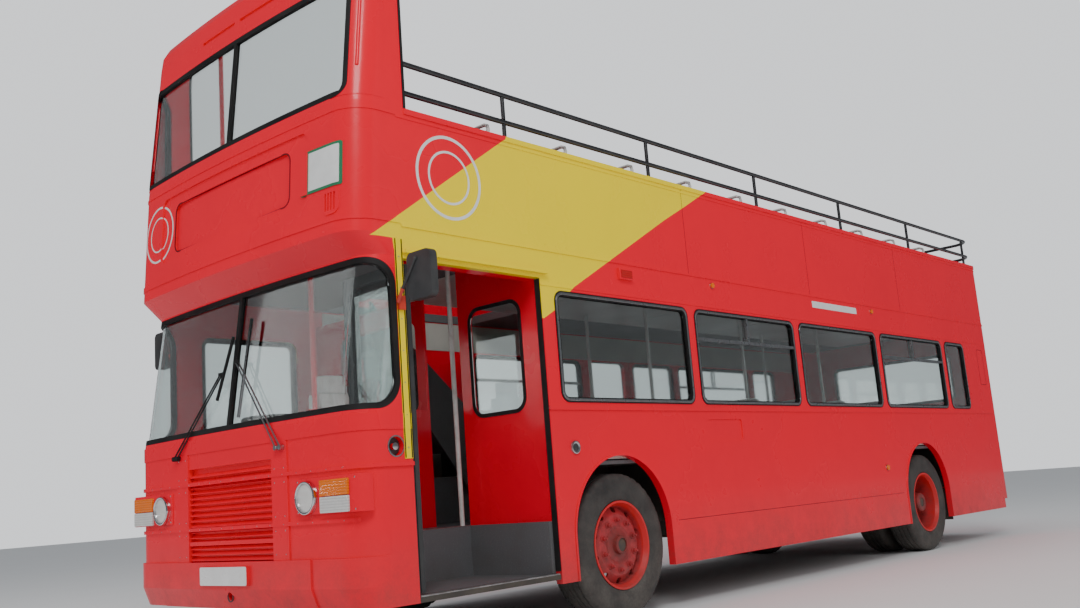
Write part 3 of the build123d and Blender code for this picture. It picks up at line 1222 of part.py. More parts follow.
def chassis():
    """Two channel side rails with cross members."""
    y0, y1 = FRONT_Y + 350, REAR_Y - 300
    z0, z1 = RAIL_BOTTOM_Z, FLOOR_Z - FLOOR_THICKNESS - FIT
    pieces = []
    for side in (-1, 1):
        outer = side * RAIL_X
        rail = block(outer, outer - side * RAIL_FLANGE, y0, y1, z0, z1)
        groove = block(outer - side * RAIL_WEB, outer - side * (RAIL_FLANGE + 5), y0 - 5, y1 + 5,
                       z0 + RAIL_WEB, z1 - RAIL_WEB)
        arch = block(outer + side * 5, outer - side * (RAIL_FLANGE + 5), REAR_AXLE_Y - 130,
                     REAR_AXLE_Y + 130, z0 - 5, z0 + 130)
        pieces.append(rail - groove - arch)
    count = 8
    last = BAY_FRONT_Y - 120
    for index in range(count):
        y = y0 + 60 + index * (last - y0 - 60) / (count - 1)
        if abs(y + 30 - REAR_AXLE_Y) > 300:
            pieces.append(block(-RAIL_X + 5, RAIL_X - 5, y, y + 60, z0 + 60, z1 - 40))
    pieces += springs() + mud_flaps()
    keep("chassis_frame", join(pieces))


def mud_flaps():
    """A mud flap behind each rear wheel, hung from a bar across the chassis rails."""
    pieces = []
    for _, side in SIDES:
        pieces.append(rod_x(side * (RAIL_X - 5), side * (INNER - 20), FLAP_Y, FLAP_TOP_Z, 16))
        pieces.append(block(side * 620, side * (INNER - 15), FLAP_Y - 4, FLAP_Y + 4, FLAP_BOTTOM_Z, FLAP_TOP_Z))
    return pieces


def springs():
    """A leaf spring over each end of both axles, hung from the chassis rails."""
    pieces = []
    front_z = TYRE_RADIUS - 80 + FIT
    rear_z = TYRE_RADIUS + REAR_TUBE_RADIUS + FIT
    for side in (-1, 1):
        x0, x1 = side * (RAIL_X - SPRING_WIDTH - 5), side * (RAIL_X - 5)
        leaves = Polyline((-SPRING_HALF, 24), (-SPRING_HALF, 44), (-90, 18), (90, 18), (SPRING_HALF, 44),
                          (SPRING_HALF, 24), (90, 0), (-90, 0), close=True)
        profile = Pos(FRONT_AXLE_Y, front_z) * make_face(leaves)
        pieces.append(prism_x(x0, x1, profile))
        pieces.append(block(x0, x1, FRONT_AXLE_Y - 50, FRONT_AXLE_Y + 50, front_z, RAIL_BOTTOM_Z + 2))
        x2, x3 = side * (RAIL_X - 5), side * (RAIL_X + SPRING_WIDTH)
        profile = Pos(REAR_AXLE_Y, rear_z) * make_face(leaves)
        pieces.append(prism_x(side * (RAIL_X + 4), x3, profile))
        for end in (-1, 1):
            y = REAR_AXLE_Y + end * (SPRING_HALF - 30)
            pieces.append(block(x2, x3, y - 30, y + 30, rear_z + 10, rear_z + 60))
    return pieces


def running_units():
    """Engine with gearbox as one block, and the fuel tank."""
    inside = RAIL_X - RAIL_FLANGE - FIT
    keep("engine", block(-inside, inside, BAY_FRONT_Y + 60, REAR_Y - 160, RAIL_BOTTOM_Z - 60, BAY_TOP_Z - 60))
    tank_y = REAR_AXLE_Y - TANK_FROM_AXLE
    tank = rounded(-INNER + 50, -RAIL_X - 90, TANK_BOTTOM_Z, FLOOR_Z - FLOOR_THICKNESS - FIT, 60)
    keep("fuel_tank", prism_y(tank_y - TANK_LENGTH, tank_y, tank))


lower_front_panel()
upper_front_panel()
front_bumper()
front_grille()
front_dome()
for side_name, side_sign in SIDES:
    lower_side(side_name, side_sign)
    upper_side(side_name, side_sign)
side_glass()
rear_panel()
engine_lid()
exit_door()
entrance_door()
lower_floor()
upper_floor()
staircase()
partitions()
seats()
controls()
guard_rails()
lamps()
mirrors()
wipers()
wheels()
axles()
chassis()
running_units()

for node, shape in PARTS.items():
    export_step(shape, f"parts/{node}.step")
print(len(PARTS), "nodes")
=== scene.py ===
import bpy
import bmesh
from math import asin, atan2, cos, degrees, pi, radians, sin, sqrt
from mathutils import Matrix, Vector


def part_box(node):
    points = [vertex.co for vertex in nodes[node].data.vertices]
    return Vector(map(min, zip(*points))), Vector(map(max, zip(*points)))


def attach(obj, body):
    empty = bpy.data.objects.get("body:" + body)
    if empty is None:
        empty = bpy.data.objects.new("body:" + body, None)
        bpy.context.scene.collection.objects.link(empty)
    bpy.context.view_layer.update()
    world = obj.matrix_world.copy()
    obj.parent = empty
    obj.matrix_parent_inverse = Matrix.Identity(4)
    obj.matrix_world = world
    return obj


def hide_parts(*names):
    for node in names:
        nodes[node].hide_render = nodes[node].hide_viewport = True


bl_info = {
    "name": "Open Top Double Decker Bus",
    "version": (1, 0, 0),
    "blender": (4, 5, 0),
    "location": "View3D > Sidebar > Bus",
    "description": "Dresses the packed bus with paint, glass, trim, tyres, lamps and seats",
    "category": "Object",
}

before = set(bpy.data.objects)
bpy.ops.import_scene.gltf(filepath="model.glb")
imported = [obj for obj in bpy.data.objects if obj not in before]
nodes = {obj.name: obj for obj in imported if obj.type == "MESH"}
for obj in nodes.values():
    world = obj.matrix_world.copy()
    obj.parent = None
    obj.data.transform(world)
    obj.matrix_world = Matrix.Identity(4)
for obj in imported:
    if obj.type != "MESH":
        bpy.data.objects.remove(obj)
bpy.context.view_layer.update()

# Places shared with the solids, in metres. The bus faces -Y and its nearside is +X.
HALF = 1.25
INNER = 1.20
FRONT_FACE_Y = -4.715
REAR_Y = 4.745
BOW_RADIUS = 15.0
FRONT_CORNER = 0.19
FRONT_AXLE_Y = -2.490
REAR_AXLE_Y = 2.463
WHEEL_Z = 0.478
FLOOR_Z = 0.68
UPPER_FLOOR_Z = 2.5
CEILING_Z = 2.43
DECK_LINE_Z = 2.435
PARAPET_Z = 3.15
WINDOW_BOTTOM_Z = 1.425
WINDOW_TOP_Z = 2.165
WINDOW_CORNER = 0.075
DOOR_FRONT_Y = -4.315
DOOR_REAR_Y = -3.165
DOOR_HEAD_Z = 2.235
STEP_Z = 0.355
DOME_BACK_Y = -4.25
EXIT_FRONT_Y = 0.16
EXIT_REAR_Y = 0.86
SIDE_END_Y = 4.515
LAMP_X = 0.807
LAMP_Z = 0.928
TRAY_Y = -4.7055
WHEEL_BOXES = ((FRONT_AXLE_Y, 0.61), (REAR_AXLE_Y, 0.57))
WHEEL_BOX_TOP_Z = 1.04
BAY_FRONT_Y = 3.413
BAY_TOP_Z = 1.13
SIDES = (("nearside", 1), ("offside", -1))
UP, RIGHT, AHEAD, BEHIND = (0, 0, 1), (1, 0, 0), (0, -1, 0), (0, 1, 0)

# Panes as (low, high) across and (low, high) up: in a folding door leaf and in the emergency door
LEAF_LIGHT = (0.716, 1.134, 0.436, 2.154)
EXIT_LIGHT = (0.236, 0.784, 1.426, 2.164)

# The front face as (height, Y at its middle), and the sunk surround of the destination sign
FRONT_LINE = ((0.0, -4.715), (1.35, -4.715), (2.25, -4.585), (2.37, -4.715), (3.15, -4.670), (4.12, -4.565))
SURROUND = (0.856, 2.587, 3.040)

# Side windows as (side, front end Y, width)
WINDOWS = (
    (1, -3.04, 1.51), (1, -1.44, 1.51), (1, 0.16, 1.51), (1, 1.76, 1.51), (1, 3.36, 0.54),
    (-1, -4.185, 0.82), (-1, -1.44, 1.51), (-1, 0.92, 0.75), (-1, 1.76, 1.51), (-1, 3.36, 0.54),
)


# Mesh making


def rounded_outline(u0, u1, v0, v1, radius, steps=6):
    """Points (u, v) of a rounded rectangle."""
    points = []
    for centre_u, centre_v, start in ((u1 - radius, v1 - radius, 0), (u0 + radius, v1 - radius, 90),
                                      (u0 + radius, v0 + radius, 180), (u1 - radius, v0 + radius, 270)):
        for step in range(steps + 1):
            angle = radians(start + 90 * step / steps)
            points.append((centre_u + radius * cos(angle), centre_v + radius * sin(angle)))
    return points


def circle(steps):
    """Cosine and sine at even steps round a circle."""
    return [(cos(2 * pi * step / steps), sin(2 * pi * step / steps)) for step in range(steps)]


def at_x(x):
    """Stands points (Y, Z) on the plane at X."""
    return lambda y, z: (x, y, z)


def at_y(y):
    """Stands points (X, Z) on the plane at Y."""
    return lambda x, z: (x, y, z)


class Shape:
    """Gathers the corners and faces of one piece before it becomes an object."""

    def __init__(self):
        self.corners, self.faces, self.marks = [], [], []

    def add(self, corners, faces, mark=0):
        start = len(self.corners)
        self.corners.extend(Vector(corner) for corner in corners)
        self.faces.extend([start + index for index in face] for face in faces)
        self.marks.extend([mark] * len(faces))

    def box(self, low, high, mark=0):
        self.add([(x, y, z) for x in (low[0], high[0]) for y in (low[1], high[1]) for z in (low[2], high[2])],
                 [(0, 1, 3, 2), (4, 6, 7, 5), (0, 4, 5, 1), (2, 3, 7, 6), (0, 2, 6, 4), (1, 5, 7, 3)], mark)

    def loft(self, rings, mark=0, closed=True, around=True):
        """Joins rings of equal count; closed ties the last ring to the first, an open loft gets end faces."""
        count = len(rings[0])
        faces = []
        for ring in range(len(rings) if closed else len(rings) - 1):
            low, high = ring * count, (ring + 1) % len(rings) * count
            for step in range(count if around else count - 1):
                after = (step + 1) % count
                faces.append((low + step, high + step, high + after, low + after))
        if not closed:
            faces.append(tuple(range(count)))
            faces.append(tuple(reversed(range((len(rings) - 1) * count, len(rings) * count))))
        self.add([corner for ring in rings for corner in ring], faces, mark)

    def tube(self, points, radius, sides=10, closed=False, mark=0):
        """A round bar along a line of points."""
        points = [Vector(point) for point in points]
        rings = []
        normal = None
        for index, point in enumerate(points):
            before = points[index - 1] if index or closed else point
            after = points[(index + 1) % len(points)] if index + 1 < len(points) or closed else point
            along = (after - before).normalized()
            if normal is None:
                normal = along.orthogonal().normalized()
            normal = (normal - along * normal.dot(along)).normalized()
            other = along.cross(normal)
            rings.append([point + (normal * right + other * up) * radius for right, up in circle(sides)])
        self.loft(rings, mark, closed=closed)

    def spin(self, centre, axis, profile, steps=32, mark=0):
        """A turned form: profile lists (along the axis, radius) from one end to the other."""
        axis = Vector(axis).normalized()
        first = axis.orthogonal().normalized()
        second = axis.cross(first)
        rings = []
        for right, up in circle(steps):
            out = first * right + second * up
            rings.append([Vector(centre) + axis * along + out * radius for along, radius in profile])
        self.loft(rings, mark, around=False)

    def rivet(self, centre, out, radius):
        """A low domed rivet head."""
        self.spin(centre, out, [(0.0, radius), (radius * 0.35, radius * 0.75), (radius * 0.5, 0.0)], steps=8)

    def plate(self, put, box, radius, offset, steps=6, mark=0):
        """A rounded plate pushed along offset; put stands its outline's points in place."""
        near = [Vector(put(*point)) for point in rounded_outline(*box, radius, steps)]
        self.loft([near, [point + Vector(offset) for point in near]], mark, closed=False)

    def frame(self, outer, inner, offset, mark=0):
        """A flat ring between two outlines of equal count, pushed along offset."""
        outer, inner, offset = [Vector(p) for p in outer], [Vector(p) for p in inner], Vector(offset)
        self.loft([outer, [p + offset for p in outer], [p + offset for p in inner], inner], mark)

    def rim(self, put, box, radius, width, offset, steps=6):
        """A rounded frame of even width inside box."""
        u0, u1, v0, v1 = box
        inner = rounded_outline(u0 + width, u1 - width, v0 + width, v1 - width, radius - width, steps)
        self.frame([put(*point) for point in rounded_outline(*box, radius, steps)],
                   [put(*point) for point in inner], offset)

    def ring(self, put, u, v, radii, offset, steps=56, mark=0):
        """A flat ring between two radii round (u, v)."""
        outer, inner = ([put(u + radius * right, v + radius * up) for right, up in circle(steps)]
                        for radius in radii)
        self.frame(outer, inner, offset, mark)

    def build(self, name, materials, slot, body="bus_body", bevel=0.0, smooth=35, replaces=(), segments=2):
        """Makes the object, gives it materials and lets it ride on its body."""
        mesh = bpy.data.meshes.new(name)
        mesh.from_pydata([tuple(corner) for corner in self.corners], [], self.faces)
        for material in materials.split():
            mesh.materials.append(MATERIALS[material])
        mesh.polygons.foreach_set("material_index", self.marks)
        shape = bmesh.new()
        shape.from_mesh(mesh)
        bmesh.ops.recalc_face_normals(shape, faces=shape.faces)
        shape.to_mesh(mesh)
        shape.free()
        piece = link(name, mesh)
        if bevel:
            rounding = piece.modifiers.new("Rounded edges", "BEVEL")
            rounding.width = bevel
            rounding.segments = segments
            rounding.limit_method = "ANGLE"
            rounding.angle_limit = radians(40)
        mesh.shade_smooth()
        mesh.set_sharp_from_angle(angle=radians(smooth))
        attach(piece, body)
        if replaces:
            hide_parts(*replaces)
        return piece


def link(name, data):
    """An object in the scene for a mesh, a light or a camera."""
    thing = bpy.data.objects.new(name, data)
    bpy.context.scene.collection.objects.link(thing)
    return thing


def bow(x):
    """How far the front falls back at X, round the bow and then round the corner."""
    x = abs(x)
    inner = HALF - FRONT_CORNER
    meet = inner * BOW_RADIUS / (BOW_RADIUS - FRONT_CORNER)
    if x <= meet:
        return BOW_RADIUS - sqrt(BOW_RADIUS ** 2 - x * x)
    centre = BOW_RADIUS - sqrt((BOW_RADIUS - FRONT_CORNER) ** 2 - inner ** 2)
    return centre - sqrt(max(FRONT_CORNER ** 2 - (x - inner) ** 2, 0.0))


def on_front(x, z, proud=0.0):
    """The point of the front at X and Z, standing proud of it."""
    for (low_z, low_y), (high_z, high_y) in zip(FRONT_LINE, FRONT_LINE[1:]):
        if z <= high_z:
            break
    y = low_y + (high_y - low_y) * (z - low_z) / (high_z - low_z) + bow(x)
    half, bottom, top = SURROUND
    sunk = 0.012 if abs(x) < half and bottom < z < top else 0.0
    return Vector((x, y + sunk - proud, z))


def front_patch(shape, box, radius, proud, mark=0):
    """A thin plate with rounded corners that follows the front."""
    x0, x1, z0, z1 = box
    places = [x0 + (x1 - x0) * step / 14 for step in range(15)]
    places += [x0 + radius * part for part in (0.08, 0.3, 0.6, 1.0)]
    places += [x1 - radius * part for part in (0.08, 0.3, 0.6, 1.0)]
    rings = []
    for x in sorted(places):
        edge = max(radius - min(x - x0, x1 - x), 0.0)
        cut_back = radius - sqrt(max(radius ** 2 - edge ** 2, 0.0))
        low, high = z0 + cut_back, z1 - cut_back
        rings.append([on_front(x, low, 0.0002), on_front(x, low, proud), on_front(x, high, proud),
                      on_front(x, high, 0.0002)])
    shape.loft(rings, mark, closed=False)


# Shader making


GROUPS = {}
MATERIALS = {}


def add(tree, kind, inputs=None, **settings):
    """Adds a shader node, sets it up, and links or fills its inputs."""
    node = tree.nodes.new(kind)
    for name, value in settings.items():
        setattr(node, name, value)
    for name, value in (inputs or {}).items():
        if isinstance(value, bpy.types.NodeSocket):
            tree.links.new(value, node.inputs[name])
        else:
            node.inputs[name].default_value = value
    return node


def calc(tree, operation, first, second=0.0, clamp=False):
    """A Math node's output."""
    return add(tree, "ShaderNodeMath", {0: first, 1: second}, operation=operation, use_clamp=clamp).outputs[0]


def product(tree, *factors, clamp=False):
    """All the factors multiplied."""
    total = factors[0]
    for factor in factors[1:]:
        total = calc(tree, "MULTIPLY", total, factor, clamp)
    return total


def between(tree, value, low, high):
    """1 where a value lies between two others."""
    return product(tree, calc(tree, "GREATER_THAN", value, low), calc(tree, "LESS_THAN", value, high))


def blend(tree, factor, *colours):
    """A mix of two colours, each a socket or plain red, green and blue."""
    pair = [value if isinstance(value, bpy.types.NodeSocket) else (*value, 1.0) for value in colours]
    return add(tree, "ShaderNodeMix", {0: factor, 6: pair[0], 7: pair[1]}, data_type="RGBA").outputs[2]


def scaled(tree, value, low, high, start=0.0, end=1.0):
    """A value mapped from one range to another, clamped."""
    return add(tree, "ShaderNodeMapRange", {"Value": value, "From Min": start, "From Max": end, "To Min": low,
                                            "To Max": high}).outputs[0]


def shade(rgb, part):
    return tuple(part * value for value in rgb)


def new_group(name, inputs, outputs):
    """An empty shader node group with named sockets: the tree, its inputs and its output node."""
    tree = bpy.data.node_groups.new(name, "ShaderNodeTree")
    for socket_name, default in inputs.items():
        socket = tree.interface.new_socket(socket_name, in_out="INPUT", socket_type="NodeSocketFloat")
        socket.default_value = default
    for socket_name in outputs:
        tree.interface.new_socket(socket_name, in_out="OUTPUT", socket_type="NodeSocketFloat")
    return tree, add(tree, "NodeGroupInput").outputs, add(tree, "NodeGroupOutput")


def end_group(tree, outlet, *values):
    """Links the values to the group's outputs in order."""
    for index, value in enumerate(values):
        tree.links.new(value, outlet.inputs[index])
    return tree


def place(tree):
    """Position in the bus's own frame: as a vector, then split into X, Y and Z."""
    vector = add(tree, "ShaderNodeTexCoord").outputs["Object"]
    split = add(tree, "ShaderNodeSeparateXYZ", {0: vector}).outputs
    return vector, split[0], split[1], split[2]


def noise(tree, vector, scale, detail=3.0, rough=0.55):
    return add(tree, "ShaderNodeTexNoise",
               {"Vector": vector, "Scale": scale, "Detail": detail, "Roughness": rough}).outputs[0]


def wave(tree, vector, scale, direction, **inputs):
    return add(tree, "ShaderNodeTexWave", {"Vector": vector, "Scale": scale, **inputs},
               bands_direction=direction).outputs["Fac"]


def grain_group():
    """Fine surface grain: height and an uneven tone."""
    tree, inlet, outlet = new_group("Fine grain", {"Scale": 400.0, "Patch Scale": 3.0}, ["Height", "Tone"])
    vector = place(tree)[0]
    return end_group(tree, outlet, noise(tree, vector, inlet["Scale"], 2.0),
                     noise(tree, vector, inlet["Patch Scale"], 4.0, 0.6))


def road_dirt_group():
    """Road dirt that thickens towards the ground."""
    tree, inlet, outlet = new_group("Road dirt", {"Top": 0.9, "Bottom": 0.25, "Amount": 0.5}, ["Mask"])
    vector, _, _, height = place(tree)
    climb = scaled(tree, height, 0.0, 1.0, inlet["Top"], inlet["Bottom"])
    streak = scaled(tree, noise(tree, vector, 6.0, 6.0, 0.65), 0.25, 1.0, 0.35, 0.7)
    speck = scaled(tree, noise(tree, vector, 60.0, 3.0, 0.6), 0.6, 1.0, 0.3, 0.6)
    patchy = product(tree, streak, speck)
    return end_group(tree, outlet, product(tree, climb, patchy, inlet["Amount"], clamp=True))


def weave_group():
    """Crossing threads of a woven cloth."""
    tree, inlet, outlet = new_group("Cloth weave", {"Scale": 300.0}, ["Height", "Thread"])
    vector = place(tree)[0]
    waves = [wave(tree, vector, inlet["Scale"], direction, Distortion=0.6) for direction in "XYZ"]
    highest = calc(tree, "MAXIMUM", calc(tree, "MAXIMUM", waves[0], waves[1]), waves[2])
    return end_group(tree, outlet, highest, calc(tree, "GREATER_THAN", waves[0], waves[1]))


# The sweep of second colour as (Y, Z) of its lower edge and of its upper edge
SWEEP_LOW = ((-4.533, 2.347), (-4.376, 2.347), (-4.375, 2.2), (-3.153, 1.967), (-3.033, 2.033), (-2.833, 2.2),
             (-1.70, 2.83), (-1.40, 2.985), (-1.10, 3.147), (-1.0, 3.4))
SWEEP_HIGH = ((-4.533, 2.347), (-3.40, 3.13), (-3.30, 3.4), (-1.0, 3.4))
SWEEP_BASE, SWEEP_RISE = 1.9, 1.5
STRIP_Y, STRIP_Z = (-4.375, -4.315), (1.10, 2.36)


def sweep_edge(tree, along, corners):
    """Height of an edge of the sweep at Y, as a colour ramp between its corners."""
    start, end = corners[0][0], corners[-1][0]
    ramp = add(tree, "ShaderNodeValToRGB", {"Fac": scaled(tree, along, 0.0, 1.0, start, end)})
    stops = ramp.color_ramp
    while len(stops.elements) < len(corners):
        stops.elements.new(0.5)
    for stop, (y, z) in zip(stops.elements, corners):
        stop.position = (y - start) / (end - start)
        stop.color = (*[(z - SWEEP_BASE) / SWEEP_RISE] * 3, 1.0)
    return calc(tree, "ADD", calc(tree, "MULTIPLY", ramp.outputs[0], SWEEP_RISE), SWEEP_BASE)


def livery_group():
    """Mask of the second body colour: a sweep over the sides and a strip before the entrance."""
    tree, _, outlet = new_group("Livery sweep", {}, ["Mask"])
    _, across, along, height = place(tree)
    inside = product(tree, between(tree, height, sweep_edge(tree, along, SWEEP_LOW),
                                   sweep_edge(tree, along, SWEEP_HIGH)),
                     between(tree, along, SWEEP_LOW[0][0], SWEEP_LOW[-2][0]))
    strip = product(tree, between(tree, along, *STRIP_Y), between(tree, height, *STRIP_Z),
                    calc(tree, "GREATER_THAN", across, 0.0))
    skin = calc(tree, "GREATER_THAN", calc(tree, "ABSOLUTE", across), INNER + 0.006)
    return end_group(tree, outlet, product(tree, calc(tree, "MAXIMUM", inside, strip), skin))


MAKERS = {"grain": grain_group, "dirt": road_dirt_group, "weave": weave_group, "livery": livery_group}


def fill(node, values):
    """Sets a node's own sockets; an underscore in a key stands for a space."""
    for key, value in values.items():
        node.inputs[key.replace("_", " ")].default_value = value


def grouped(tree, name, **inputs):
    """The outputs of a shared group placed in a material with its own values."""
    if name not in GROUPS:
        GROUPS[name] = MAKERS[name]()
    node = add(tree, "ShaderNodeGroup", node_tree=GROUPS[name])
    fill(node, inputs)
    return node.outputs


def start_material(name, **fixed):
    """A material's tree and Principled shader, whose steady values are set on its own sockets."""
    material = bpy.data.materials.new(name)
    material.use_nodes = True
    MATERIALS[name] = material
    shader = material.node_tree.nodes["Principled BSDF"]
    fill(shader, fixed)
    return material.node_tree, shader


def grain(tree, scale, patch):
    """Height and tone of the fine grain."""
    texture = grouped(tree, "grain", Scale=scale, Patch_Scale=patch)
    return texture["Height"], texture["Tone"]


def dirty(tree, base, rgb, **amounts):
    """A colour under road dirt, and the dirt's mask."""
    mask = grouped(tree, "dirt", **amounts)["Mask"]
    return blend(tree, mask, base, rgb), mask


def finish(tree, shader, base, roughness, height, strength, depth):
    """Links a material's colour, its roughness and its relief."""
    relief = add(tree, "ShaderNodeBump", {"Height": height, "Strength": strength, "Distance": depth})
    for key, value in (("Base Color", base), ("Roughness", roughness), ("Normal", relief.outputs[0])):
        tree.links.new(value, shader.inputs[key])


def surface(name, rgb, rough, other=None, scale=400.0, depth=0.0002, strength=0.3, patch=3.0, dirt=0.0,
            dirt_top=0.9, **fixed):
    """A general finish: uneven colour and roughness, fine grain and road dirt."""
    tree, shader = start_material(name, **fixed)
    height, tone = grain(tree, scale, patch)
    base = blend(tree, scaled(tree, tone, 0.0, 1.0, 0.325, 0.675), rgb, other or shade(rgb, 0.78))
    roughness = scaled(tree, tone, max(rough - 0.06, 0.02), rough + 0.08, 0.3, 0.7)
    if dirt:
        base, mask = dirty(tree, base, (0.09, 0.075, 0.06), Amount=dirt, Top=dirt_top)
        roughness = calc(tree, "ADD", roughness, calc(tree, "MULTIPLY", mask, 0.4), clamp=True)
    finish(tree, shader, base, roughness, height, strength, depth)


def paint_material(settings):
    """Glossy coach paint in two colours with faint waviness, dust and road dirt."""
    tree, shader = start_material("coach_paint", Coat_Weight=0.15, Coat_Roughness=0.05, IOR=1.33)
    height, tone = grain(tree, 260.0, 1.3)
    patches = scaled(tree, tone, 0.0, 0.35, 0.4, 0.75)
    red = blend(tree, patches, settings.body_red, shade(settings.body_red, 0.8))
    yellow = blend(tree, patches, settings.sweep_yellow, shade(settings.sweep_yellow, 0.85))
    base = blend(tree, grouped(tree, "livery")["Mask"], red, yellow)
    base, mask = dirty(tree, base, (0.12, 0.09, 0.07), Amount=0.6, Top=0.75, Bottom=0.25)
    roughness = calc(tree, "ADD", scaled(tree, tone, 0.2, 0.34, 0.3, 0.7), calc(tree, "MULTIPLY", mask, 0.4))
    waves = noise(tree, place(tree)[0], 2.2, 2.0)
    relief = calc(tree, "ADD", calc(tree, "MULTIPLY", waves, 6.0), calc(tree, "MULTIPLY", height, 0.12))
    finish(tree, shader, base, roughness, relief, 0.25, 0.002)


def glass_material():
    """Window glass with a faint tint and a film of dust."""
    tint = (0.80, 0.86, 0.85)
    tree, shader = start_material("window_glass", IOR=1.45, Transmission_Weight=1.0)
    tone = grain(tree, 30.0, 1.5)[1]
    base = blend(tree, scaled(tree, tone, 0.0, 0.5), tint, shade(tint, 0.9))
    finish(tree, shader, base, scaled(tree, tone, 0.02, 0.05, 0.3, 0.8), tone, 0.02, 0.001)


def lens_material(name, rgb, scale=26.0):
    """Coloured lamp lens with moulded ribs and a little dust."""
    tree, shader = start_material(name, IOR=1.4, Coat_Weight=0.15, Coat_Roughness=0.04)
    vector = place(tree)[0]
    ribs, rows = wave(tree, vector, scale, "X"), wave(tree, vector, scale * 0.8, "Z")
    tone = grain(tree, 60.0, 12.0)[1]
    shaded = blend(tree, scaled(tree, rows, 0.0, 0.5), rgb, shade(rgb, 0.6))
    dust = tuple(part * 0.5 + 0.03 for part in rgb)
    base = blend(tree, scaled(tree, tone, 0.0, 0.3, 0.3, 0.8), shaded, dust)
    finish(tree, shader, base, scaled(tree, tone, 0.1, 0.2), calc(tree, "ADD", ribs, rows), 0.5, 0.003)


def wheel_material():
    """Wheel paint: bright on the rim's edge, dull and dusty on the disc, rusty at the nuts."""
    tree, shader = start_material("wheel_paint", IOR=1.5)
    _, _, along, height = place(tree)
    rear = calc(tree, "GREATER_THAN", along, 0.0)
    axle = calc(tree, "ADD", calc(tree, "MULTIPLY", rear, REAR_AXLE_Y - FRONT_AXLE_Y), FRONT_AXLE_Y)
    away_y, away_z = calc(tree, "SUBTRACT", along, axle), calc(tree, "SUBTRACT", height, WHEEL_Z)
    squares = calc(tree, "ADD", product(tree, away_y, away_y), product(tree, away_z, away_z))
    radius = calc(tree, "SQRT", squares)
    relief, tone = grain(tree, 260.0, 14.0)
    dull = blend(tree, scaled(tree, tone, 0.0, 1.0, 0.35, 0.7), (0.55, 0.025, 0.035), (0.30, 0.018, 0.022))
    dull = blend(tree, scaled(tree, radius, 0.6, 0.0, 0.06, 0.16), dull, (0.10, 0.03, 0.022))
    base = blend(tree, scaled(tree, radius, 0.0, 1.0, 0.255, 0.262), dull, (0.72, 0.008, 0.012))
    base = dirty(tree, base, (0.11, 0.085, 0.07), Amount=0.55, Top=0.95)[0]
    finish(tree, shader, base, scaled(tree, tone, 0.34, 0.55, 0.3, 0.7), relief, 0.3, 0.0004)


def headlamp_material():
    """Headlamp glass: pale lens over a bright bowl, with upright flutes whose light and dark bands are
    painted highlight and painted shade.
    """
    tree, shader = start_material("headlamp_glass", IOR=1.5, Coat_Weight=1.0, Coat_Roughness=0.03)
    vector = place(tree)[0]
    flutes, bars = wave(tree, vector, 30.0, "X"), wave(tree, vector, 9.0, "Z")
    tone = grain(tree, 90.0, 20.0)[1]
    # Pale and grey bands along the flutes: painted highlight and painted shade of the fluted glass
    base = blend(tree, scaled(tree, flutes, 0.0, 0.45), (0.82, 0.80, 0.76), (0.45, 0.45, 0.46))
    base = blend(tree, scaled(tree, tone, 0.0, 0.3, 0.4, 0.8), base, (0.6, 0.57, 0.5))
    finish(tree, shader, base, scaled(tree, tone, 0.1, 0.22), calc(tree, "ADD", flutes, bars), 0.5, 0.003)


def tyre_material():
    """Tyre rubber: dusty and greyer towards the ground."""
    tree, shader = start_material("tyre_rubber", IOR=1.5)
    height, tone = grain(tree, 320.0, 9.0)
    base = blend(tree, scaled(tree, tone, 0.0, 1.0, 0.35, 0.7), (0.022, 0.021, 0.021), (0.055, 0.05, 0.046))
    base = dirty(tree, base, (0.16, 0.14, 0.12), Amount=0.75, Top=1.3, Bottom=0.0)[0]
    finish(tree, shader, base, scaled(tree, tone, 0.62, 0.85, 0.3, 0.7), height, 0.5, 0.0006)


def moquette_material(settings):
    """Woven seat cloth with a small regular figure in two tones."""
    tree, shader = start_material("moquette", Sheen_Weight=0.5, Sheen_Roughness=0.4)
    cloth = grouped(tree, "weave", Scale=140.0)
    checks = add(tree, "ShaderNodeTexChecker", {"Vector": place(tree)[0], "Scale": 26.0}).outputs["Fac"]
    main = blend(tree, checks, settings.moquette, shade(settings.moquette, 0.55))
    base = blend(tree, calc(tree, "MULTIPLY", cloth["Thread"], 0.3), main, (0.3, 0.26, 0.2))
    finish(tree, shader, base, scaled(tree, cloth["Height"], 0.75, 0.95), cloth["Height"], 0.6, 0.0015)


def floor_material():
    """Ribbed lino: grey with pale flecks and worn in patches."""
    tree, shader = start_material("floor_lino", IOR=1.45)
    vector = place(tree)[0]
    fleck = add(tree, "ShaderNodeTexVoronoi", {"Vector": vector, "Scale": 110.0}).outputs["Distance"]
    tone = grain(tree, 200.0, 2.0)[1]
    base = blend(tree, scaled(tree, fleck, 1.0, 0.0, 0.05, 0.2), (0.13, 0.13, 0.135), (0.3, 0.3, 0.29))
    base = blend(tree, scaled(tree, tone, 0.0, 0.5, 0.45, 0.75), base, (0.1, 0.085, 0.07))
    finish(tree, shader, base, scaled(tree, tone, 0.5, 0.75), wave(tree, vector, 22.0, "X"), 0.35, 0.002)


def stage_material():
    """Pale studio floor with a barely visible unevenness."""
    pale = (0.80, 0.80, 0.79)
    tree, shader = start_material("studio_floor")
    height, tone = grain(tree, 90.0, 0.7)
    base = blend(tree, tone, pale, shade(pale, 0.95))
    finish(tree, shader, base, scaled(tree, tone, 0.7, 0.85), height, 0.08, 0.001)


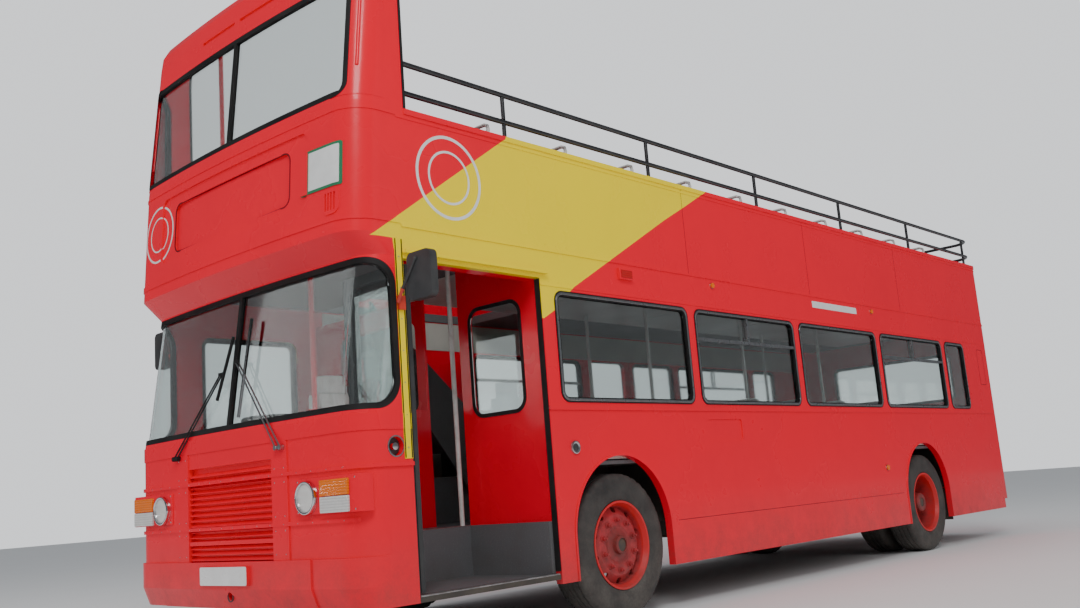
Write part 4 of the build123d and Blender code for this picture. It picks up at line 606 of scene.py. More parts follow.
def make_materials(settings):
    """All finishes of the bus, made once."""
    if MATERIALS:
        return
    paint_material(settings)
    glass_material()
    lens_material("amber_lens", (1.0, 0.20, 0.0))
    lens_material("clear_lens", (0.75, 0.74, 0.71))
    lens_material("red_lens", (0.62, 0.006, 0.008))
    headlamp_material()
    wheel_material()
    tyre_material()
    moquette_material(settings)
    floor_material()
    stage_material()
    surface("seat_vinyl", settings.vinyl, 0.42, None, 180.0, 0.0006, 0.5, patch=6.0, Coat_Weight=0.15)
    surface("black_rubber", (0.010, 0.010, 0.011), 0.6, (0.024, 0.023, 0.022), 250.0, 0.0004,
            Specular_IOR_Level=0.25)
    surface("bright_trim", (0.62, 0.63, 0.64), 0.3, (0.42, 0.42, 0.43), 500.0, 0.0001, patch=14.0,
            Metallic=1.0)
    surface("chrome", (0.82, 0.82, 0.83), 0.08, (0.6, 0.6, 0.62), patch=20.0, Metallic=1.0)
    surface("rail_paint", settings.rail_black, 0.3, (0.04, 0.04, 0.042), patch=5.0, Coat_Weight=0.4)
    surface("white_tube", (0.72, 0.71, 0.68), 0.28, (0.5, 0.49, 0.46), patch=12.0, Coat_Weight=0.4)
    surface("underframe", (0.035, 0.033, 0.031), 0.7, (0.09, 0.075, 0.06), patch=5.0, dirt=0.7, dirt_top=1.2)
    surface("cast_iron", (0.07, 0.06, 0.055), 0.75, (0.14, 0.09, 0.06), 160.0, 0.001, patch=7.0, dirt=0.5)
    surface("laminate", (0.55, 0.53, 0.47), 0.45, (0.45, 0.43, 0.38), patch=2.0)
    surface("ceiling_white", (0.7, 0.69, 0.65), 0.4, (0.6, 0.59, 0.55), patch=2.0)
    surface("dark_plastic", (0.03, 0.03, 0.032), 0.5, (0.055, 0.055, 0.055), 300.0, 0.0004, patch=8.0)
    surface("mirror_glass", (0.75, 0.77, 0.78), 0.03, (0.7, 0.72, 0.73), Metallic=1.0)
    surface("sign_white", (0.82, 0.82, 0.80), 0.3, (0.72, 0.72, 0.7), patch=6.0, Coat_Weight=0.3)
    surface("sign_green", (0.03, 0.22, 0.10), 0.35, (0.02, 0.17, 0.08), patch=6.0)
    surface("seam_shadow", (0.10, 0.006, 0.008), 0.6, (0.05, 0.006, 0.006), patch=8.0)
    surface("sign_yellow", (0.80, 0.58, 0.01), 0.3, (0.7, 0.5, 0.01), patch=6.0, Coat_Weight=0.3)
    surface("step_edge", (0.60, 0.60, 0.60), 0.32, (0.35, 0.34, 0.33), 500.0, patch=18.0, Metallic=1.0)
    surface("arm_red", (0.72, 0.05, 0.02), 0.35, (0.5, 0.03, 0.015), patch=9.0, Coat_Weight=0.3)


class BusSettings(bpy.types.PropertyGroup):
    """Colours and sizes of the trim."""

    body_red: bpy.props.FloatVectorProperty(
        name="Body red", description="Main coach paint", subtype="COLOR", default=(0.95, 0.002, 0.026))
    sweep_yellow: bpy.props.FloatVectorProperty(
        name="Sweep yellow", description="Second coach paint", subtype="COLOR", default=(1.0, 0.76, 0.0))
    rail_black: bpy.props.FloatVectorProperty(
        name="Rail black", description="Paint of the guard rails", subtype="COLOR",
        default=(0.015, 0.015, 0.017))
    moquette: bpy.props.FloatVectorProperty(
        name="Seat cloth", description="Cloth of the lower seats", subtype="COLOR",
        default=(0.09, 0.10, 0.22))
    vinyl: bpy.props.FloatVectorProperty(
        name="Seat vinyl", description="Covering of the upper seats", subtype="COLOR",
        default=(0.20, 0.015, 0.02))
    rivet_radius: bpy.props.FloatProperty(
        name="Rivet radius", description="Radius of a panel rivet",
        default=0.0055, unit="LENGTH", min=0.002, max=0.012)
    rivet_pitch: bpy.props.FloatProperty(
        name="Rivet pitch", description="Distance between rivets",
        default=0.10, unit="LENGTH", min=0.04, max=0.3)
    seam_width: bpy.props.FloatProperty(
        name="Seam width", description="Width of a panel seam",
        default=0.003, unit="LENGTH", min=0.001, max=0.01)
    tread_depth: bpy.props.FloatProperty(
        name="Tread depth", description="Depth of the tyre grooves",
        default=0.010, unit="LENGTH", min=0.002, max=0.016)
    trim_width: bpy.props.FloatProperty(
        name="Window trim width", description="Width of the bright window trim",
        default=0.016, unit="LENGTH", min=0.006, max=0.03)


def dress(names, materials, choose=None):
    """Gives CAD nodes their finishes; choose names one for each face by its middle."""
    for name in names.split():
        mesh = nodes[name].data
        mesh.materials.clear()
        for material in materials.split():
            mesh.materials.append(MATERIALS[material])
        if choose:
            for face in mesh.polygons:
                face.material_index = choose(*(nodes[name].matrix_world @ face.center))


def lamp_finish(x, y, z):
    """0 headlamp, 1 amber, 2 clear, 3 red."""
    if abs(y) < 4.0:
        return 3 if y < -2.0 else 1
    if y > 0:
        return 1 if z > 1.65 else 3
    return 0 if abs(x) < LAMP_X + 0.1 else 2


def floor_finish(x, y, z):
    """0 lino, 1 underside and the insides of the wheel boxes."""
    if z < FLOOR_Z - 0.03 and not (x > 0.44 and y < DOOR_REAR_Y and z > STEP_Z - 0.005):
        return 1
    return int(any(abs(y - axle_y) < 0.62 and abs(x) > in_x + 0.02 and z < WHEEL_BOX_TOP_Z - 0.02
                   for axle_y, in_x in WHEEL_BOXES))


def frame_finish(x, y, z):
    """0 rubber, 1 the bright bars of the hopper windows."""
    in_light = any(start + 0.05 < y < start + span - 0.05 for _, start, span in WINDOWS)
    in_height = WINDOW_BOTTOM_Z + 0.06 < z < WINDOW_TOP_Z - 0.06
    return int(abs(x) > HALF - 0.05 and y > -3.0 and in_light and in_height)


def pane_finish(across, z, light):
    """0 frame, 1 pane of a door."""
    return int(light[0] < across < light[1] and light[2] < z < light[3])


# Operators


class BUS_OT_finishes(bpy.types.Operator):
    """Makes the finishes and puts them on the solids that stay in view"""

    bl_idname = "bus.finishes"
    bl_label = "Finishes"

    def execute(self, context):
        make_materials(context.scene.bus_settings)
        dress("front_lower_panel front_upper_panel front_bumper front_dome front_grille rear_panel "
              "nearside_lower_side offside_lower_side nearside_upper_side offside_upper_side "
              "engine_lid partitions", "coach_paint")
        dress("windscreens side_windows", "window_glass")
        dress("glazing_frames", "black_rubber bright_trim", frame_finish)
        dress("wipers", "black_rubber bright_trim", lambda x, y, z: int(x > 0.25 or (x > 0.04 and z < 1.75)))
        dress("lamps", "headlamp_glass amber_lens clear_lens red_lens", lamp_finish)
        dress("guard_rails", "rail_paint")
        dress("nearside_front_wheel offside_front_wheel nearside_rear_wheels offside_rear_wheels",
              "wheel_paint")
        dress("chassis_frame fuel_tank", "underframe")
        dress("engine front_axle_beam rear_axle nearside_steering_knuckle offside_steering_knuckle",
              "cast_iron")
        dress("lower_floor", "floor_lino underframe", floor_finish)
        dress("upper_floor staircase", "floor_lino")
        dress("dash_console steering_wheel", "dark_plastic")
        dress("emergency_door", "coach_paint window_glass", lambda x, y, z: pane_finish(y, z, EXIT_LIGHT))
        dress("entrance_front_leaf entrance_rear_leaf", "dark_plastic window_glass",
              lambda x, y, z: pane_finish(x, z, LEAF_LIGHT))
        dress("mirrors", "dark_plastic arm_red", lambda x, y, z: int(abs(x) < 1.335))
        return {"FINISHED"}


class BUS_OT_window_trim(bpy.types.Operator):
    """Bright frames round the side windows and the rubber of the emergency door's window"""

    bl_idname = "bus.window_trim"
    bl_label = "Window trim"

    INSET, THICK = 0.010, 0.004

    def execute(self, context):
        trims, exit_ring = Shape(), Shape()
        inset, width, corner = self.INSET, context.scene.bus_settings.trim_width, WINDOW_CORNER - self.INSET
        for side, y, span in WINDOWS:
            light = (y + inset, y + span - inset, WINDOW_BOTTOM_Z + inset, WINDOW_TOP_Z - inset)
            trims.rim(at_x(side * (HALF + 0.004)), light, corner, width, (side * self.THICK, 0, 0))
        trims.build("window_trims", "bright_trim", "black_steel", bevel=0.0015)
        y0, y1, z0, z1 = EXIT_LIGHT
        exit_ring.rim(at_x(-HALF - 0.0003), (y0 - 0.012, y1 + 0.012, z0 - 0.012, z1 + 0.012), 0.070, 0.022,
                      (-self.THICK, 0, 0))
        exit_ring.build("exit_window_rubber", "black_rubber", "rubber", "emergency_door")
        return {"FINISHED"}


class BUS_OT_seams(bpy.types.Operator):
    """Panel seams and rivets of the body sides"""

    bl_idname = "bus.seams"
    bl_label = "Seams and rivets"

    UPPER_SEAMS = (-1.45, 0.45, 2.35)
    SKIRT_SEAM_Z = 0.597

    def execute(self, context):
        settings = context.scene.bus_settings
        seams, rivets = Shape(), Shape()
        width = settings.seam_width / 2
        for _, side in SIDES:
            x0, x1 = side * (HALF - 0.001), side * (HALF + 0.0006)
            for y in self.UPPER_SEAMS:
                seams.box((x0, y - width, DECK_LINE_Z + 0.004), (x1, y + width, PARAPET_Z - 0.036))
                self.row(rivets, settings, side, (y - 0.02, DECK_LINE_Z + 0.06), (y - 0.02, PARAPET_Z - 0.08))
            for z in (DECK_LINE_Z + 0.035, PARAPET_Z - 0.055, WINDOW_TOP_Z + 0.055):
                self.row(rivets, settings, side, (DOOR_REAR_Y + 0.08, z), (SIDE_END_Y - 0.05, z))
            seams.box((x0, FRONT_AXLE_Y + 0.6, self.SKIRT_SEAM_Z - width),
                      (x1, REAR_AXLE_Y - 0.6, self.SKIRT_SEAM_Z + width))
        seams.build("panel_seams", "seam_shadow", "red_paint")
        rivets.build("panel_rivets", "coach_paint", "red_paint", smooth=80)
        return {"FINISHED"}

    def row(self, shape, settings, side, start, end):
        start, way = Vector((side * HALF, *start)), Vector((0, end[0] - start[0], end[1] - start[1]))
        count = max(int(way.length / settings.rivet_pitch), 1)
        for index in range(count + 1):
            shape.rivet(start + way * index / count, (side, 0, 0), settings.rivet_radius)


class BUS_OT_signs(bpy.types.Operator):
    """Blank number plates and blank signs"""

    bl_idname = "bus.signs"
    bl_label = "Blank plates and signs"

    # Number plates as (name, face Y, way out, middle Z, finish)
    PLATES = (("front_number_plate", -4.7622, -1, 0.517, "sign_white"),
              ("rear_number_plate", REAR_Y + 0.0062, 1, 1.455, "sign_yellow"))

    def execute(self, context):
        for name, y, out, z, finish_name in self.PLATES:
            plate = Shape()
            plate.plate(at_y(y), (-0.258, 0.258, z - 0.0535, z + 0.0535), 0.012, (0, out * 0.0015, 0))
            for x in (-0.19, 0.19):
                plate.rivet((x, y + out * 0.0015, z), (0, out, 0), 0.006)
            plate.build(name, finish_name, "lens", smooth=50)
        sign, gasket = Shape(), Shape()
        front_patch(sign, (0.792, 1.150, 2.648, 2.910), 0.012, 0.0055, mark=1)
        front_patch(sign, (0.808, 1.134, 2.664, 2.894), 0.006, 0.0065)
        sign.plate(at_x(HALF + 0.0008), (0.467, 1.333, 2.322, 2.382), 0.008, (0.002, 0, 0))
        sign.build("blank_signs", "sign_white sign_green", "lens", smooth=50)
        gasket.rim(lambda x, z: on_front(x, z, 0.001), (-0.682, 0.682, 2.627, 2.971), 0.064, 0.008,
                   (0, 0.003, 0), 10)
        gasket.build("sign_gasket", "seam_shadow", "red_paint")
        return {"FINISHED"}


class BUS_OT_roundels(bpy.types.Operator):
    """Plain ring on each side of the upper deck and on the front"""

    bl_idname = "bus.roundels"
    bl_label = "Plain rings"

    THICK = 0.0012

    def execute(self, context):
        shape = Shape()
        for _, side in SIDES:
            for radii in ((0.265, 0.245), (0.17, 0.155)):
                shape.ring(at_x(side * (HALF + 0.0003)), -3.913, 2.78, radii, (side * self.THICK, 0, 0))
        for radii in ((0.200, 0.186), (0.125, 0.115)):
            shape.ring(lambda x, z: on_front(x, z, 0.0003), -0.909, 2.809, radii, (0, -self.THICK, 0), 64)
        shape.build("plain_rings", "sign_white", "lens")
        return {"FINISHED"}


class BUS_OT_headlamps(bpy.types.Operator):
    """Round headlamps with bright rims and domed lenses, signal lenses and their housings"""

    bl_idname = "bus.headlamps"
    bl_label = "Headlamps"

    RIM = ((-0.022, 0.094), (-0.004, 0.0925), (0.0035, 0.090), (0.005, 0.085), (0.003, 0.079),
           (-0.006, 0.0775))
    LENS = ((-0.006, 0.0775), (-0.002, 0.066), (0.001, 0.05), (0.003, 0.03), (0.0036, 0.0))
    END_X, CORNER = 1.252, 0.075

    def execute(self, context):
        rims, lenses, trays, signals = Shape(), Shape(), Shape(), Shape()
        for side in (-1, 1):
            self.tray(trays, side)
            centre = (side * LAMP_X, TRAY_Y - 0.022, LAMP_Z)
            rims.spin(centre, AHEAD, self.RIM, 56)
            lenses.spin(centre, AHEAD, self.LENS, 48)
            x0, x1 = sorted((side * 0.932, side * 1.182))
            for z0, z1, mark in ((LAMP_Z + 0.002, LAMP_Z + 0.088, 0), (LAMP_Z - 0.088, LAMP_Z - 0.002, 1)):
                signals.plate(at_y(TRAY_Y + 0.001), (x0, x1, z0, z1), 0.006, (0, -0.015, 0), 3, mark)
        rims.build("headlamp_rims", "chrome", "lens")
        signals.build("signal_lenses", "amber_lens clear_lens", "lens", bevel=0.002)
        lenses.build("headlamp_lenses", "headlamp_glass", "lens", smooth=80)
        trays.build("lamp_trays", "coach_paint", "red_paint", bevel=0.004)
        return {"FINISHED"}

    def tray(self, shape, side):
        """The flat-faced housing of one side's lamps, whose outer end stands out from the bowed front."""
        low, high, bend_x = LAMP_Z - 0.092, LAMP_Z + 0.106, self.END_X - self.CORNER
        places = [(0.69, TRAY_Y), (0.93, TRAY_Y), (bend_x, TRAY_Y)]
        for step in range(1, 7):
            turn = radians(15 * step)
            places.append((bend_x + self.CORNER * sin(turn), TRAY_Y + self.CORNER - self.CORNER * cos(turn)))
        places.append((self.END_X, -4.60))
        rings = []
        for x, y in places:
            inner_x = min(x, 1.21)
            inner_y = max(FRONT_FACE_Y + bow(inner_x) + 0.002, y + 0.001)
            rings.append([Vector((side * px, py, z)) for px, py, z in (
                (inner_x, inner_y, low), (x, y, low), (x, y, high), (inner_x, inner_y, high))])
        shape.loft(rings, closed=False)


# Half of a tyre's section: its wall as (radius, inset) and its crown as (distance from the middle, radius)
TYRE_WALL = ((0.292, 0.020), (0.300, 0.008), (0.318, 0.004), (0.330, 0.0), (0.352, 0.001), (0.38, -0.001),
             (0.41, 0.0), (0.433, 0.004), (0.448, 0.010), (0.462, 0.020))
TYRE_CROWN = ((0.106, 0.4725), (0.078, 0.4755), (0.074, "groove"), (0.066, "groove"), (0.062, 0.4765),
              (0.028, 0.4775), (0.024, "groove"), (0.016, "groove"), (0.012, 0.4775))
TREAD_RADIUS = 0.4775
TREAD_STEPS = 168


def tyre_shape(shape, centre_y, x_in, x_out, depth):
    """A tyre with shaped walls, ribs and shoulder lugs, between two X planes."""
    middle = (x_in + x_out) / 2
    half = abs(x_out - x_in) / 2
    profile = [(half - 0.001 - inset, radius) for radius, inset in TYRE_WALL] + list(TYRE_CROWN)
    profile += [(-along, radius) for along, radius in reversed(profile)]
    rings = []
    for step, (right, up) in enumerate(circle(TREAD_STEPS)):
        ring = []
        for along, radius in profile:
            if radius == "groove":
                radius = TREAD_RADIUS - depth
                along = along + 0.003 * (1 if step % 4 < 2 else -1)
            elif abs(along) > 0.09 and radius > 0.455 and step % 4 == 0:
                radius = radius - depth * 0.7
            ring.append(Vector((middle + along, centre_y + radius * right, WHEEL_Z + radius * up)))
        rings.append(ring)
    shape.loft(rings, around=False)


class BUS_OT_wheels(bpy.types.Operator):
    """Tyres with tread and the nuts of the wheels"""

    bl_idname = "bus.wheels"
    bl_label = "Wheels and tyres"

    NUTS, NUT_RADIUS, NUT_LENGTH = 10, 0.016, 0.026
    OUTER_TYRE, INNER_TYRE = (0.945, 1.215), (0.615, 0.885)

    # Nuts as (axle, wheel, X, axle Y, circle's radius)
    NUT_RINGS = (("_front", "_front_wheel", 1.167, FRONT_AXLE_Y, 0.165),
                 ("_rear", "_rear_wheels", 0.989, REAR_AXLE_Y, 0.167))
    # Tyres as (name, wheel, axle Y, X planes, solid replaced)
    TYRES = (("_front_tread", "_front_wheel", FRONT_AXLE_Y, (OUTER_TYRE,), "_front_tyre"),
             ("_rear_treads", "_rear_wheels", REAR_AXLE_Y, (OUTER_TYRE, INNER_TYRE), "_rear_tyres"))

    def execute(self, context):
        depth = context.scene.bus_settings.tread_depth
        for name, side in SIDES:
            for axle, wheel, x, axle_y, reach in self.NUT_RINGS:
                nuts = Shape()
                self.nuts(nuts, side * x, side, axle_y, reach)
                nuts.build(name + axle + "_nuts", "wheel_paint", "wheel_red", name + wheel, smooth=40)
            for part, wheel, axle_y, tyres, old in self.TYRES:
                treads = Shape()
                for x_in, x_out in tyres:
                    tyre_shape(treads, axle_y, side * x_in, side * x_out, depth)
                treads.build(name + part, "tyre_rubber", "tyre", name + wheel, smooth=50,
                             replaces=(name + old,))
        return {"FINISHED"}

    def nuts(self, shape, x, side, centre_y, out):
        """Wheel nuts with their stud ends on a circle."""
        size = self.NUT_RADIUS
        for index in range(self.NUTS):
            angle = 2 * pi * (index + 0.5) / self.NUTS
            centre = Vector((x, centre_y + out * cos(angle), WHEEL_Z + out * sin(angle)))
            for reach, radius, sides in ((0.006, size * 1.35, 16), (self.NUT_LENGTH, size, 6),
                                         (self.NUT_LENGTH + 0.012, size * 0.5, 10)):
                profile = [(0.0, radius), (reach - 0.002, radius), (reach, radius * 0.85), (reach, 0.0)]
                shape.spin(centre, (side, 0, 0), profile, sides)


class BUS_OT_mirrors(bpy.types.Operator):
    """Mirror glasses"""

    bl_idname = "bus.mirrors"
    bl_label = "Mirrors"

    def execute(self, context):
        shape = Shape()
        for side in (-1, 1):
            x = side * (HALF + 0.2)
            shape.plate(at_y(DOOR_FRONT_Y - 0.0068), (x - 0.088, x + 0.088, 1.972, 2.218), 0.03,
                        (0, 0.0012, 0))
        shape.build("mirror_glasses", "mirror_glass", "glass")
        return {"FINISHED"}


# Seats


SEAT_WIDTH = 0.86
SEAT_X = INNER - SEAT_WIDTH / 2 - 0.015
SEAT_PITCH = 0.76
UPPER_ROWS = [DOME_BACK_Y + 0.64 + SEAT_PITCH * row for row in range(10)]
LOWER_ROWS = [FRONT_AXLE_Y + 1.09 + SEAT_PITCH * row for row in range(5)]
BACK_RAKE = 0.095
PAN_HEIGHT = 0.43
PAD_WIDTH, PAD_DEPTH, BACK_HEIGHT = 0.845, 0.40, 0.34


# For each deck its rows, those with a seat on the offside too, its floor Z and the height of the backs
SEATING = {
    "upper": (UPPER_ROWS, (0, 4, 5, 6, 7, 8, 9), UPPER_FLOOR_Z, 0.70),
    "lower": (LOWER_ROWS, (1, 2, 4), FLOOR_Z, 0.78),
}


def seat_places(deck):
    """A deck's seat places as (X, Y of the cushion's back, floor Z, height of the back)."""
    rows, offside_rows, floor, top = SEATING[deck]
    places = []
    for row, y in enumerate(rows):
        places.append((SEAT_X, y, floor, top))
        if row in offside_rows:
            places.append((-SEAT_X, y, floor, top))
    return places


def pad_mesh(name, size, crown):
    """A stuffed pad: a box that is remeshed, blown up as cloth and capped."""
    shape = bmesh.new()
    bmesh.ops.create_cube(shape, size=1.0)
    bmesh.ops.scale(shape, vec=size, verts=shape.verts)
    bmesh.ops.subdivide_edges(shape, edges=shape.edges[:], cuts=2, use_grid_fill=True)
    mesh = bpy.data.meshes.new(name)
    shape.to_mesh(mesh)
    shape.free()
    pad = link(name, mesh)
    rounding = pad.modifiers.new("Round", "BEVEL")
    rounding.width = min(size) * 0.28
    rounding.segments = 3
    rounding.limit_method = "ANGLE"
    remesh = pad.modifiers.new("Even mesh", "REMESH")
    remesh.mode = "VOXEL"
    remesh.voxel_size = 0.017
    flatten_modifiers(pad)
    rest = [vertex.co.copy() for vertex in pad.data.vertices]
    cloth = pad.modifiers.new("Cloth", "CLOTH")
    cloth.settings.use_pressure = True
    cloth.settings.uniform_pressure_force = 4.0
    cloth.settings.effector_weights.gravity = 0.0
    for step in range(1, 13):
        bpy.context.scene.frame_set(step)
    flatten_modifiers(pad)
    bpy.context.scene.frame_set(1)
    for vertex, start in zip(pad.data.vertices, rest):
        move = vertex.co - start
        if move.length > crown:
            move = move.normalized() * crown
        vertex.co = start + move
    pad.data.update()
    return pad


def flatten_modifiers(piece):
    """Applies the modifiers of a piece to its mesh."""
    graph = bpy.context.evaluated_depsgraph_get()
    mesh = bpy.data.meshes.new_from_object(piece.evaluated_get(graph))
    piece.modifiers.clear()
    old = piece.data
    piece.data = mesh
    bpy.data.meshes.remove(old)


def scatter(name, source, matrices, body, material):
    """One object with a copy of the source mesh at every matrix."""
    shape = bmesh.new()
    for matrix in matrices:
        copy = source.data.copy()
        copy.transform(matrix)
        shape.from_mesh(copy)
        bpy.data.meshes.remove(copy)
    mesh = bpy.data.meshes.new(name)
    shape.to_mesh(mesh)
    shape.free()
    mesh.materials.append(MATERIALS[material])
    mesh.shade_smooth()
    piece = link(name, mesh)
    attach(piece, body)
    return piece


class BUS_OT_seats(bpy.types.Operator):
    """Padded seats of both decks on their frames, with grab frames over the upper ones"""

    bl_idname = "bus.seats"
    bl_label = "Seats"

    def execute(self, context):
        cushion = pad_mesh("cushion_form", (SEAT_WIDTH - 0.02, PAD_DEPTH, 0.075), 0.014)
        back = pad_mesh("back_form", (SEAT_WIDTH - 0.02, BACK_HEIGHT, 0.055), 0.012)
        for deck, material, slot in (("upper", "seat_vinyl", "vinyl"), ("lower", "moquette", "moquette")):
            places = seat_places(deck)
            seats = [Matrix.Translation((x, y - 0.215, floor + 0.42)) for x, y, floor, _ in places]
            backs = [self.back_place(*place, 1.0) for place in places]
            frames = Shape()
            for place in places:
                self.seat_frame(frames, *place, deck)
            self.benches(deck, seats, backs)
            first = scatter(deck + "_seat_cushions", cushion, seats, "bus_body", material)
            second = scatter(deck + "_seat_backs", back, backs, "bus_body", material)
            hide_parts(deck + "_seats")
            frames.build(deck + "_seat_frames", "white_tube dark_plastic", "black_steel")
        for form in (cushion, back):
            bpy.data.objects.remove(form)
        return {"FINISHED"}

    def back_place(self, x, y, floor, top, wide):
        """Where a back pad stands: raked, and as high as the seat's own back."""
        rise = top - PAN_HEIGHT
        turn = Matrix.Rotation(pi / 2 - atan2(BACK_RAKE, rise), 4, "X")
        size = Matrix.Diagonal((wide, sqrt(rise ** 2 + BACK_RAKE ** 2) / BACK_HEIGHT * 0.98, 1.0, 1.0))
        return Matrix.Translation((x, y + 0.0375, floor + (PAN_HEIGHT + top) / 2)) @ turn @ size

    def benches(self, deck, seats, backs):
        """The pads of the bench across the back, and of those on the wheel boxes below."""
        y, floor, top, half = (4.495, UPPER_FLOOR_Z, 0.70, 1.09) if deck == "upper" else (
            BAY_FRONT_Y + 0.40, BAY_TOP_Z - 0.38, 0.73, 1.18)
        wide = 2 * half / 5
        for index in range(5):
            x = -half + (index + 0.5) * wide
            seats.append(Matrix.Translation((x, y - 0.213, floor + 0.42))
                         @ Matrix.Diagonal((wide / PAD_WIDTH, 1.0, 1.0, 1.0)))
            backs.append(self.back_place(x, y, floor, top, wide / PAD_WIDTH))
        if deck == "upper":
            return
        for side, (axle_y, in_x) in ((1, WHEEL_BOXES[0]), (1, WHEEL_BOXES[1]), (-1, WHEEL_BOXES[1])):
            low, high = in_x + 0.005, INNER - 0.06
            turn = Matrix.Rotation(side * pi / 2, 4, "Z")
            wide = 0.62 / PAD_WIDTH
            for y in (axle_y - 0.31, axle_y + 0.31):
                seats.append(Matrix.Translation((side * (low + high) / 2, y, WHEEL_BOX_TOP_Z + 0.041))
                             @ turn @ Matrix.Diagonal((wide, (high - low) / PAD_DEPTH, 1.0, 1.0)))
                backs.append(Matrix.Translation((side * (INNER - 0.044), y, WHEEL_BOX_TOP_Z + 0.235))
                             @ turn @ Matrix.Rotation(pi / 2, 4, "X")
                             @ Matrix.Diagonal((wide, 0.27 / BACK_HEIGHT, 1.0, 1.0)))

    def seat_frame(self, shape, x, y, floor, top, deck):
        """Legs, the pan under the cushion and the tubular grab frame."""
        half = SEAT_WIDTH / 2
        for leg in (x - 0.26, x + 0.26):
            shape.tube([(leg, y - 0.285, floor + 0.375), (leg, y - 0.325, floor + 0.012),
                        (leg, y - 0.065, floor + 0.012), (leg, y - 0.105, floor + 0.375)], 0.0115, 8,
                       closed=True, mark=1)
        shape.box((x - half + 0.02, y - 0.41, floor + 0.368), (x + half - 0.02, y - 0.01, floor + 0.384), 1)
        high = floor + top + (0.055 if deck == "upper" else 0.03)
        low = floor + PAN_HEIGHT
        lean = BACK_RAKE / (top - PAN_HEIGHT)
        out = half - 0.012
        corners = []
        for side in (1, -1):
            bottom = Vector((x + side * out, y + 0.045, low))
            bend = Vector((x + side * out, y + 0.045 + lean * (high - 0.05 - low), high - 0.05))
            inner = Vector((x + side * (out - 0.05), y + 0.045 + lean * (high - low), high))
            corners += [bottom, bend, bend.lerp(inner, 0.45) + Vector((side * 0.01, 0, 0.01)), inner][::side]
        shape.tube(corners, 0.0125, 8)


class BUS_OT_driver_seat(bpy.types.Operator):
    """Driver's seat with padded cushion and back on its pedestal"""

    bl_idname = "bus.driver_seat"
    bl_label = "Driver's seat"

    def execute(self, context):
        low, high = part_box("driver_seat")
        x = (low.x + high.x) / 2
        cushion = pad_mesh("driver_cushion_form", (0.47, 0.47, 0.11), 0.016)
        back = pad_mesh("driver_back_form", (0.45, 0.64, 0.10), 0.014)
        seat_at = Matrix.Translation((x, low.y + 0.25, FLOOR_Z + 0.41))
        lean = Matrix.Rotation(radians(88), 4, "X")
        back_at = Matrix.Translation((x, high.y - 0.06, FLOOR_Z + 0.79)) @ lean
        seat = scatter("driver_cushion", cushion, [seat_at], "bus_body", "seat_vinyl")
        rest = scatter("driver_back", back, [back_at], "bus_body", "seat_vinyl")
        stand = Shape()
        stand.box((x - 0.17, low.y + 0.10, FLOOR_Z + 0.002), (x + 0.17, high.y - 0.15, FLOOR_Z + 0.05))
        for level in range(6):
            z = FLOOR_Z + 0.06 + level * 0.045
            stand.spin((x, low.y + 0.29, z), UP, [(0.0, 0.12), (0.012, 0.15), (0.03, 0.15), (0.042, 0.12)])
        stand.box((x - 0.2, low.y + 0.06, FLOOR_Z + 0.33), (x + 0.2, high.y - 0.12, FLOOR_Z + 0.352))
        stand.build("driver_seat_stand", "dark_plastic", "dark_plastic", bevel=0.004)
        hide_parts("driver_seat")
        for form in (cushion, back):
            bpy.data.objects.remove(form)
        return {"FINISHED"}


class BUS_OT_saloon(bpy.types.Operator):
    """Ceiling, lamps, side linings and hand poles of the lower deck"""

    bl_idname = "bus.saloon"
    bl_label = "Saloon"

    PANEL_PITCH = 1.52

    def execute(self, context):
        ceiling, lamps, linings, poles = Shape(), Shape(), Shape(), Shape()
        for index in range(5):
            y = DOOR_REAR_Y + index * self.PANEL_PITCH
            ceiling.box((-0.55, y + 0.04, CEILING_Z - 0.006), (1.19, y + 1.54, CEILING_Z - 0.0005))
            lamps.box((0.40, y + 0.55, CEILING_Z - 0.045), (0.50, y + 1.15, CEILING_Z - 0.0065))
        ceiling.build("ceiling_panels", "ceiling_white", "floor", bevel=0.002)
        lamps.build("saloon_lamps", "sign_white", "lens", bevel=0.01)
        low, middle, high = FLOOR_Z + 0.01, WHEEL_BOX_TOP_Z + 0.01, WINDOW_BOTTOM_Z - 0.01
        front = DOOR_REAR_Y + 0.05
        for _, side in SIDES:
            x0, x1 = side * (INNER - 0.004), side * (INNER - 0.0004)
            before, after = (EXIT_FRONT_Y - 0.03, EXIT_REAR_Y + 0.03) if side < 0 else (0.5, 0.5)
            for y0, y1, z0, z1 in ((FRONT_AXLE_Y + 0.65, before, low, middle),
                                   (after, REAR_AXLE_Y - 0.65, low, middle),
                                   (front, before, middle, high), (after, BAY_FRONT_Y, middle, high),
                                   (front, SIDE_END_Y, WINDOW_TOP_Z + 0.01, CEILING_Z - 0.01)):
                linings.box((x0, y0, z0), (x1, y1, z1))
        linings.build("side_linings", "laminate", "floor", bevel=0.001)
        for side, y in ((1, -2.35), (-1, -0.83), (1, -0.83), (-1, 0.69), (1, 0.69), (-1, 2.21), (1, 2.21)):
            poles.tube([(side * 0.335, y, z) for z in (FLOOR_Z + 0.001, CEILING_Z - 0.007)], 0.016, 12)
        poles.build("hand_poles", "white_tube", "black_steel")
        return {"FINISHED"}


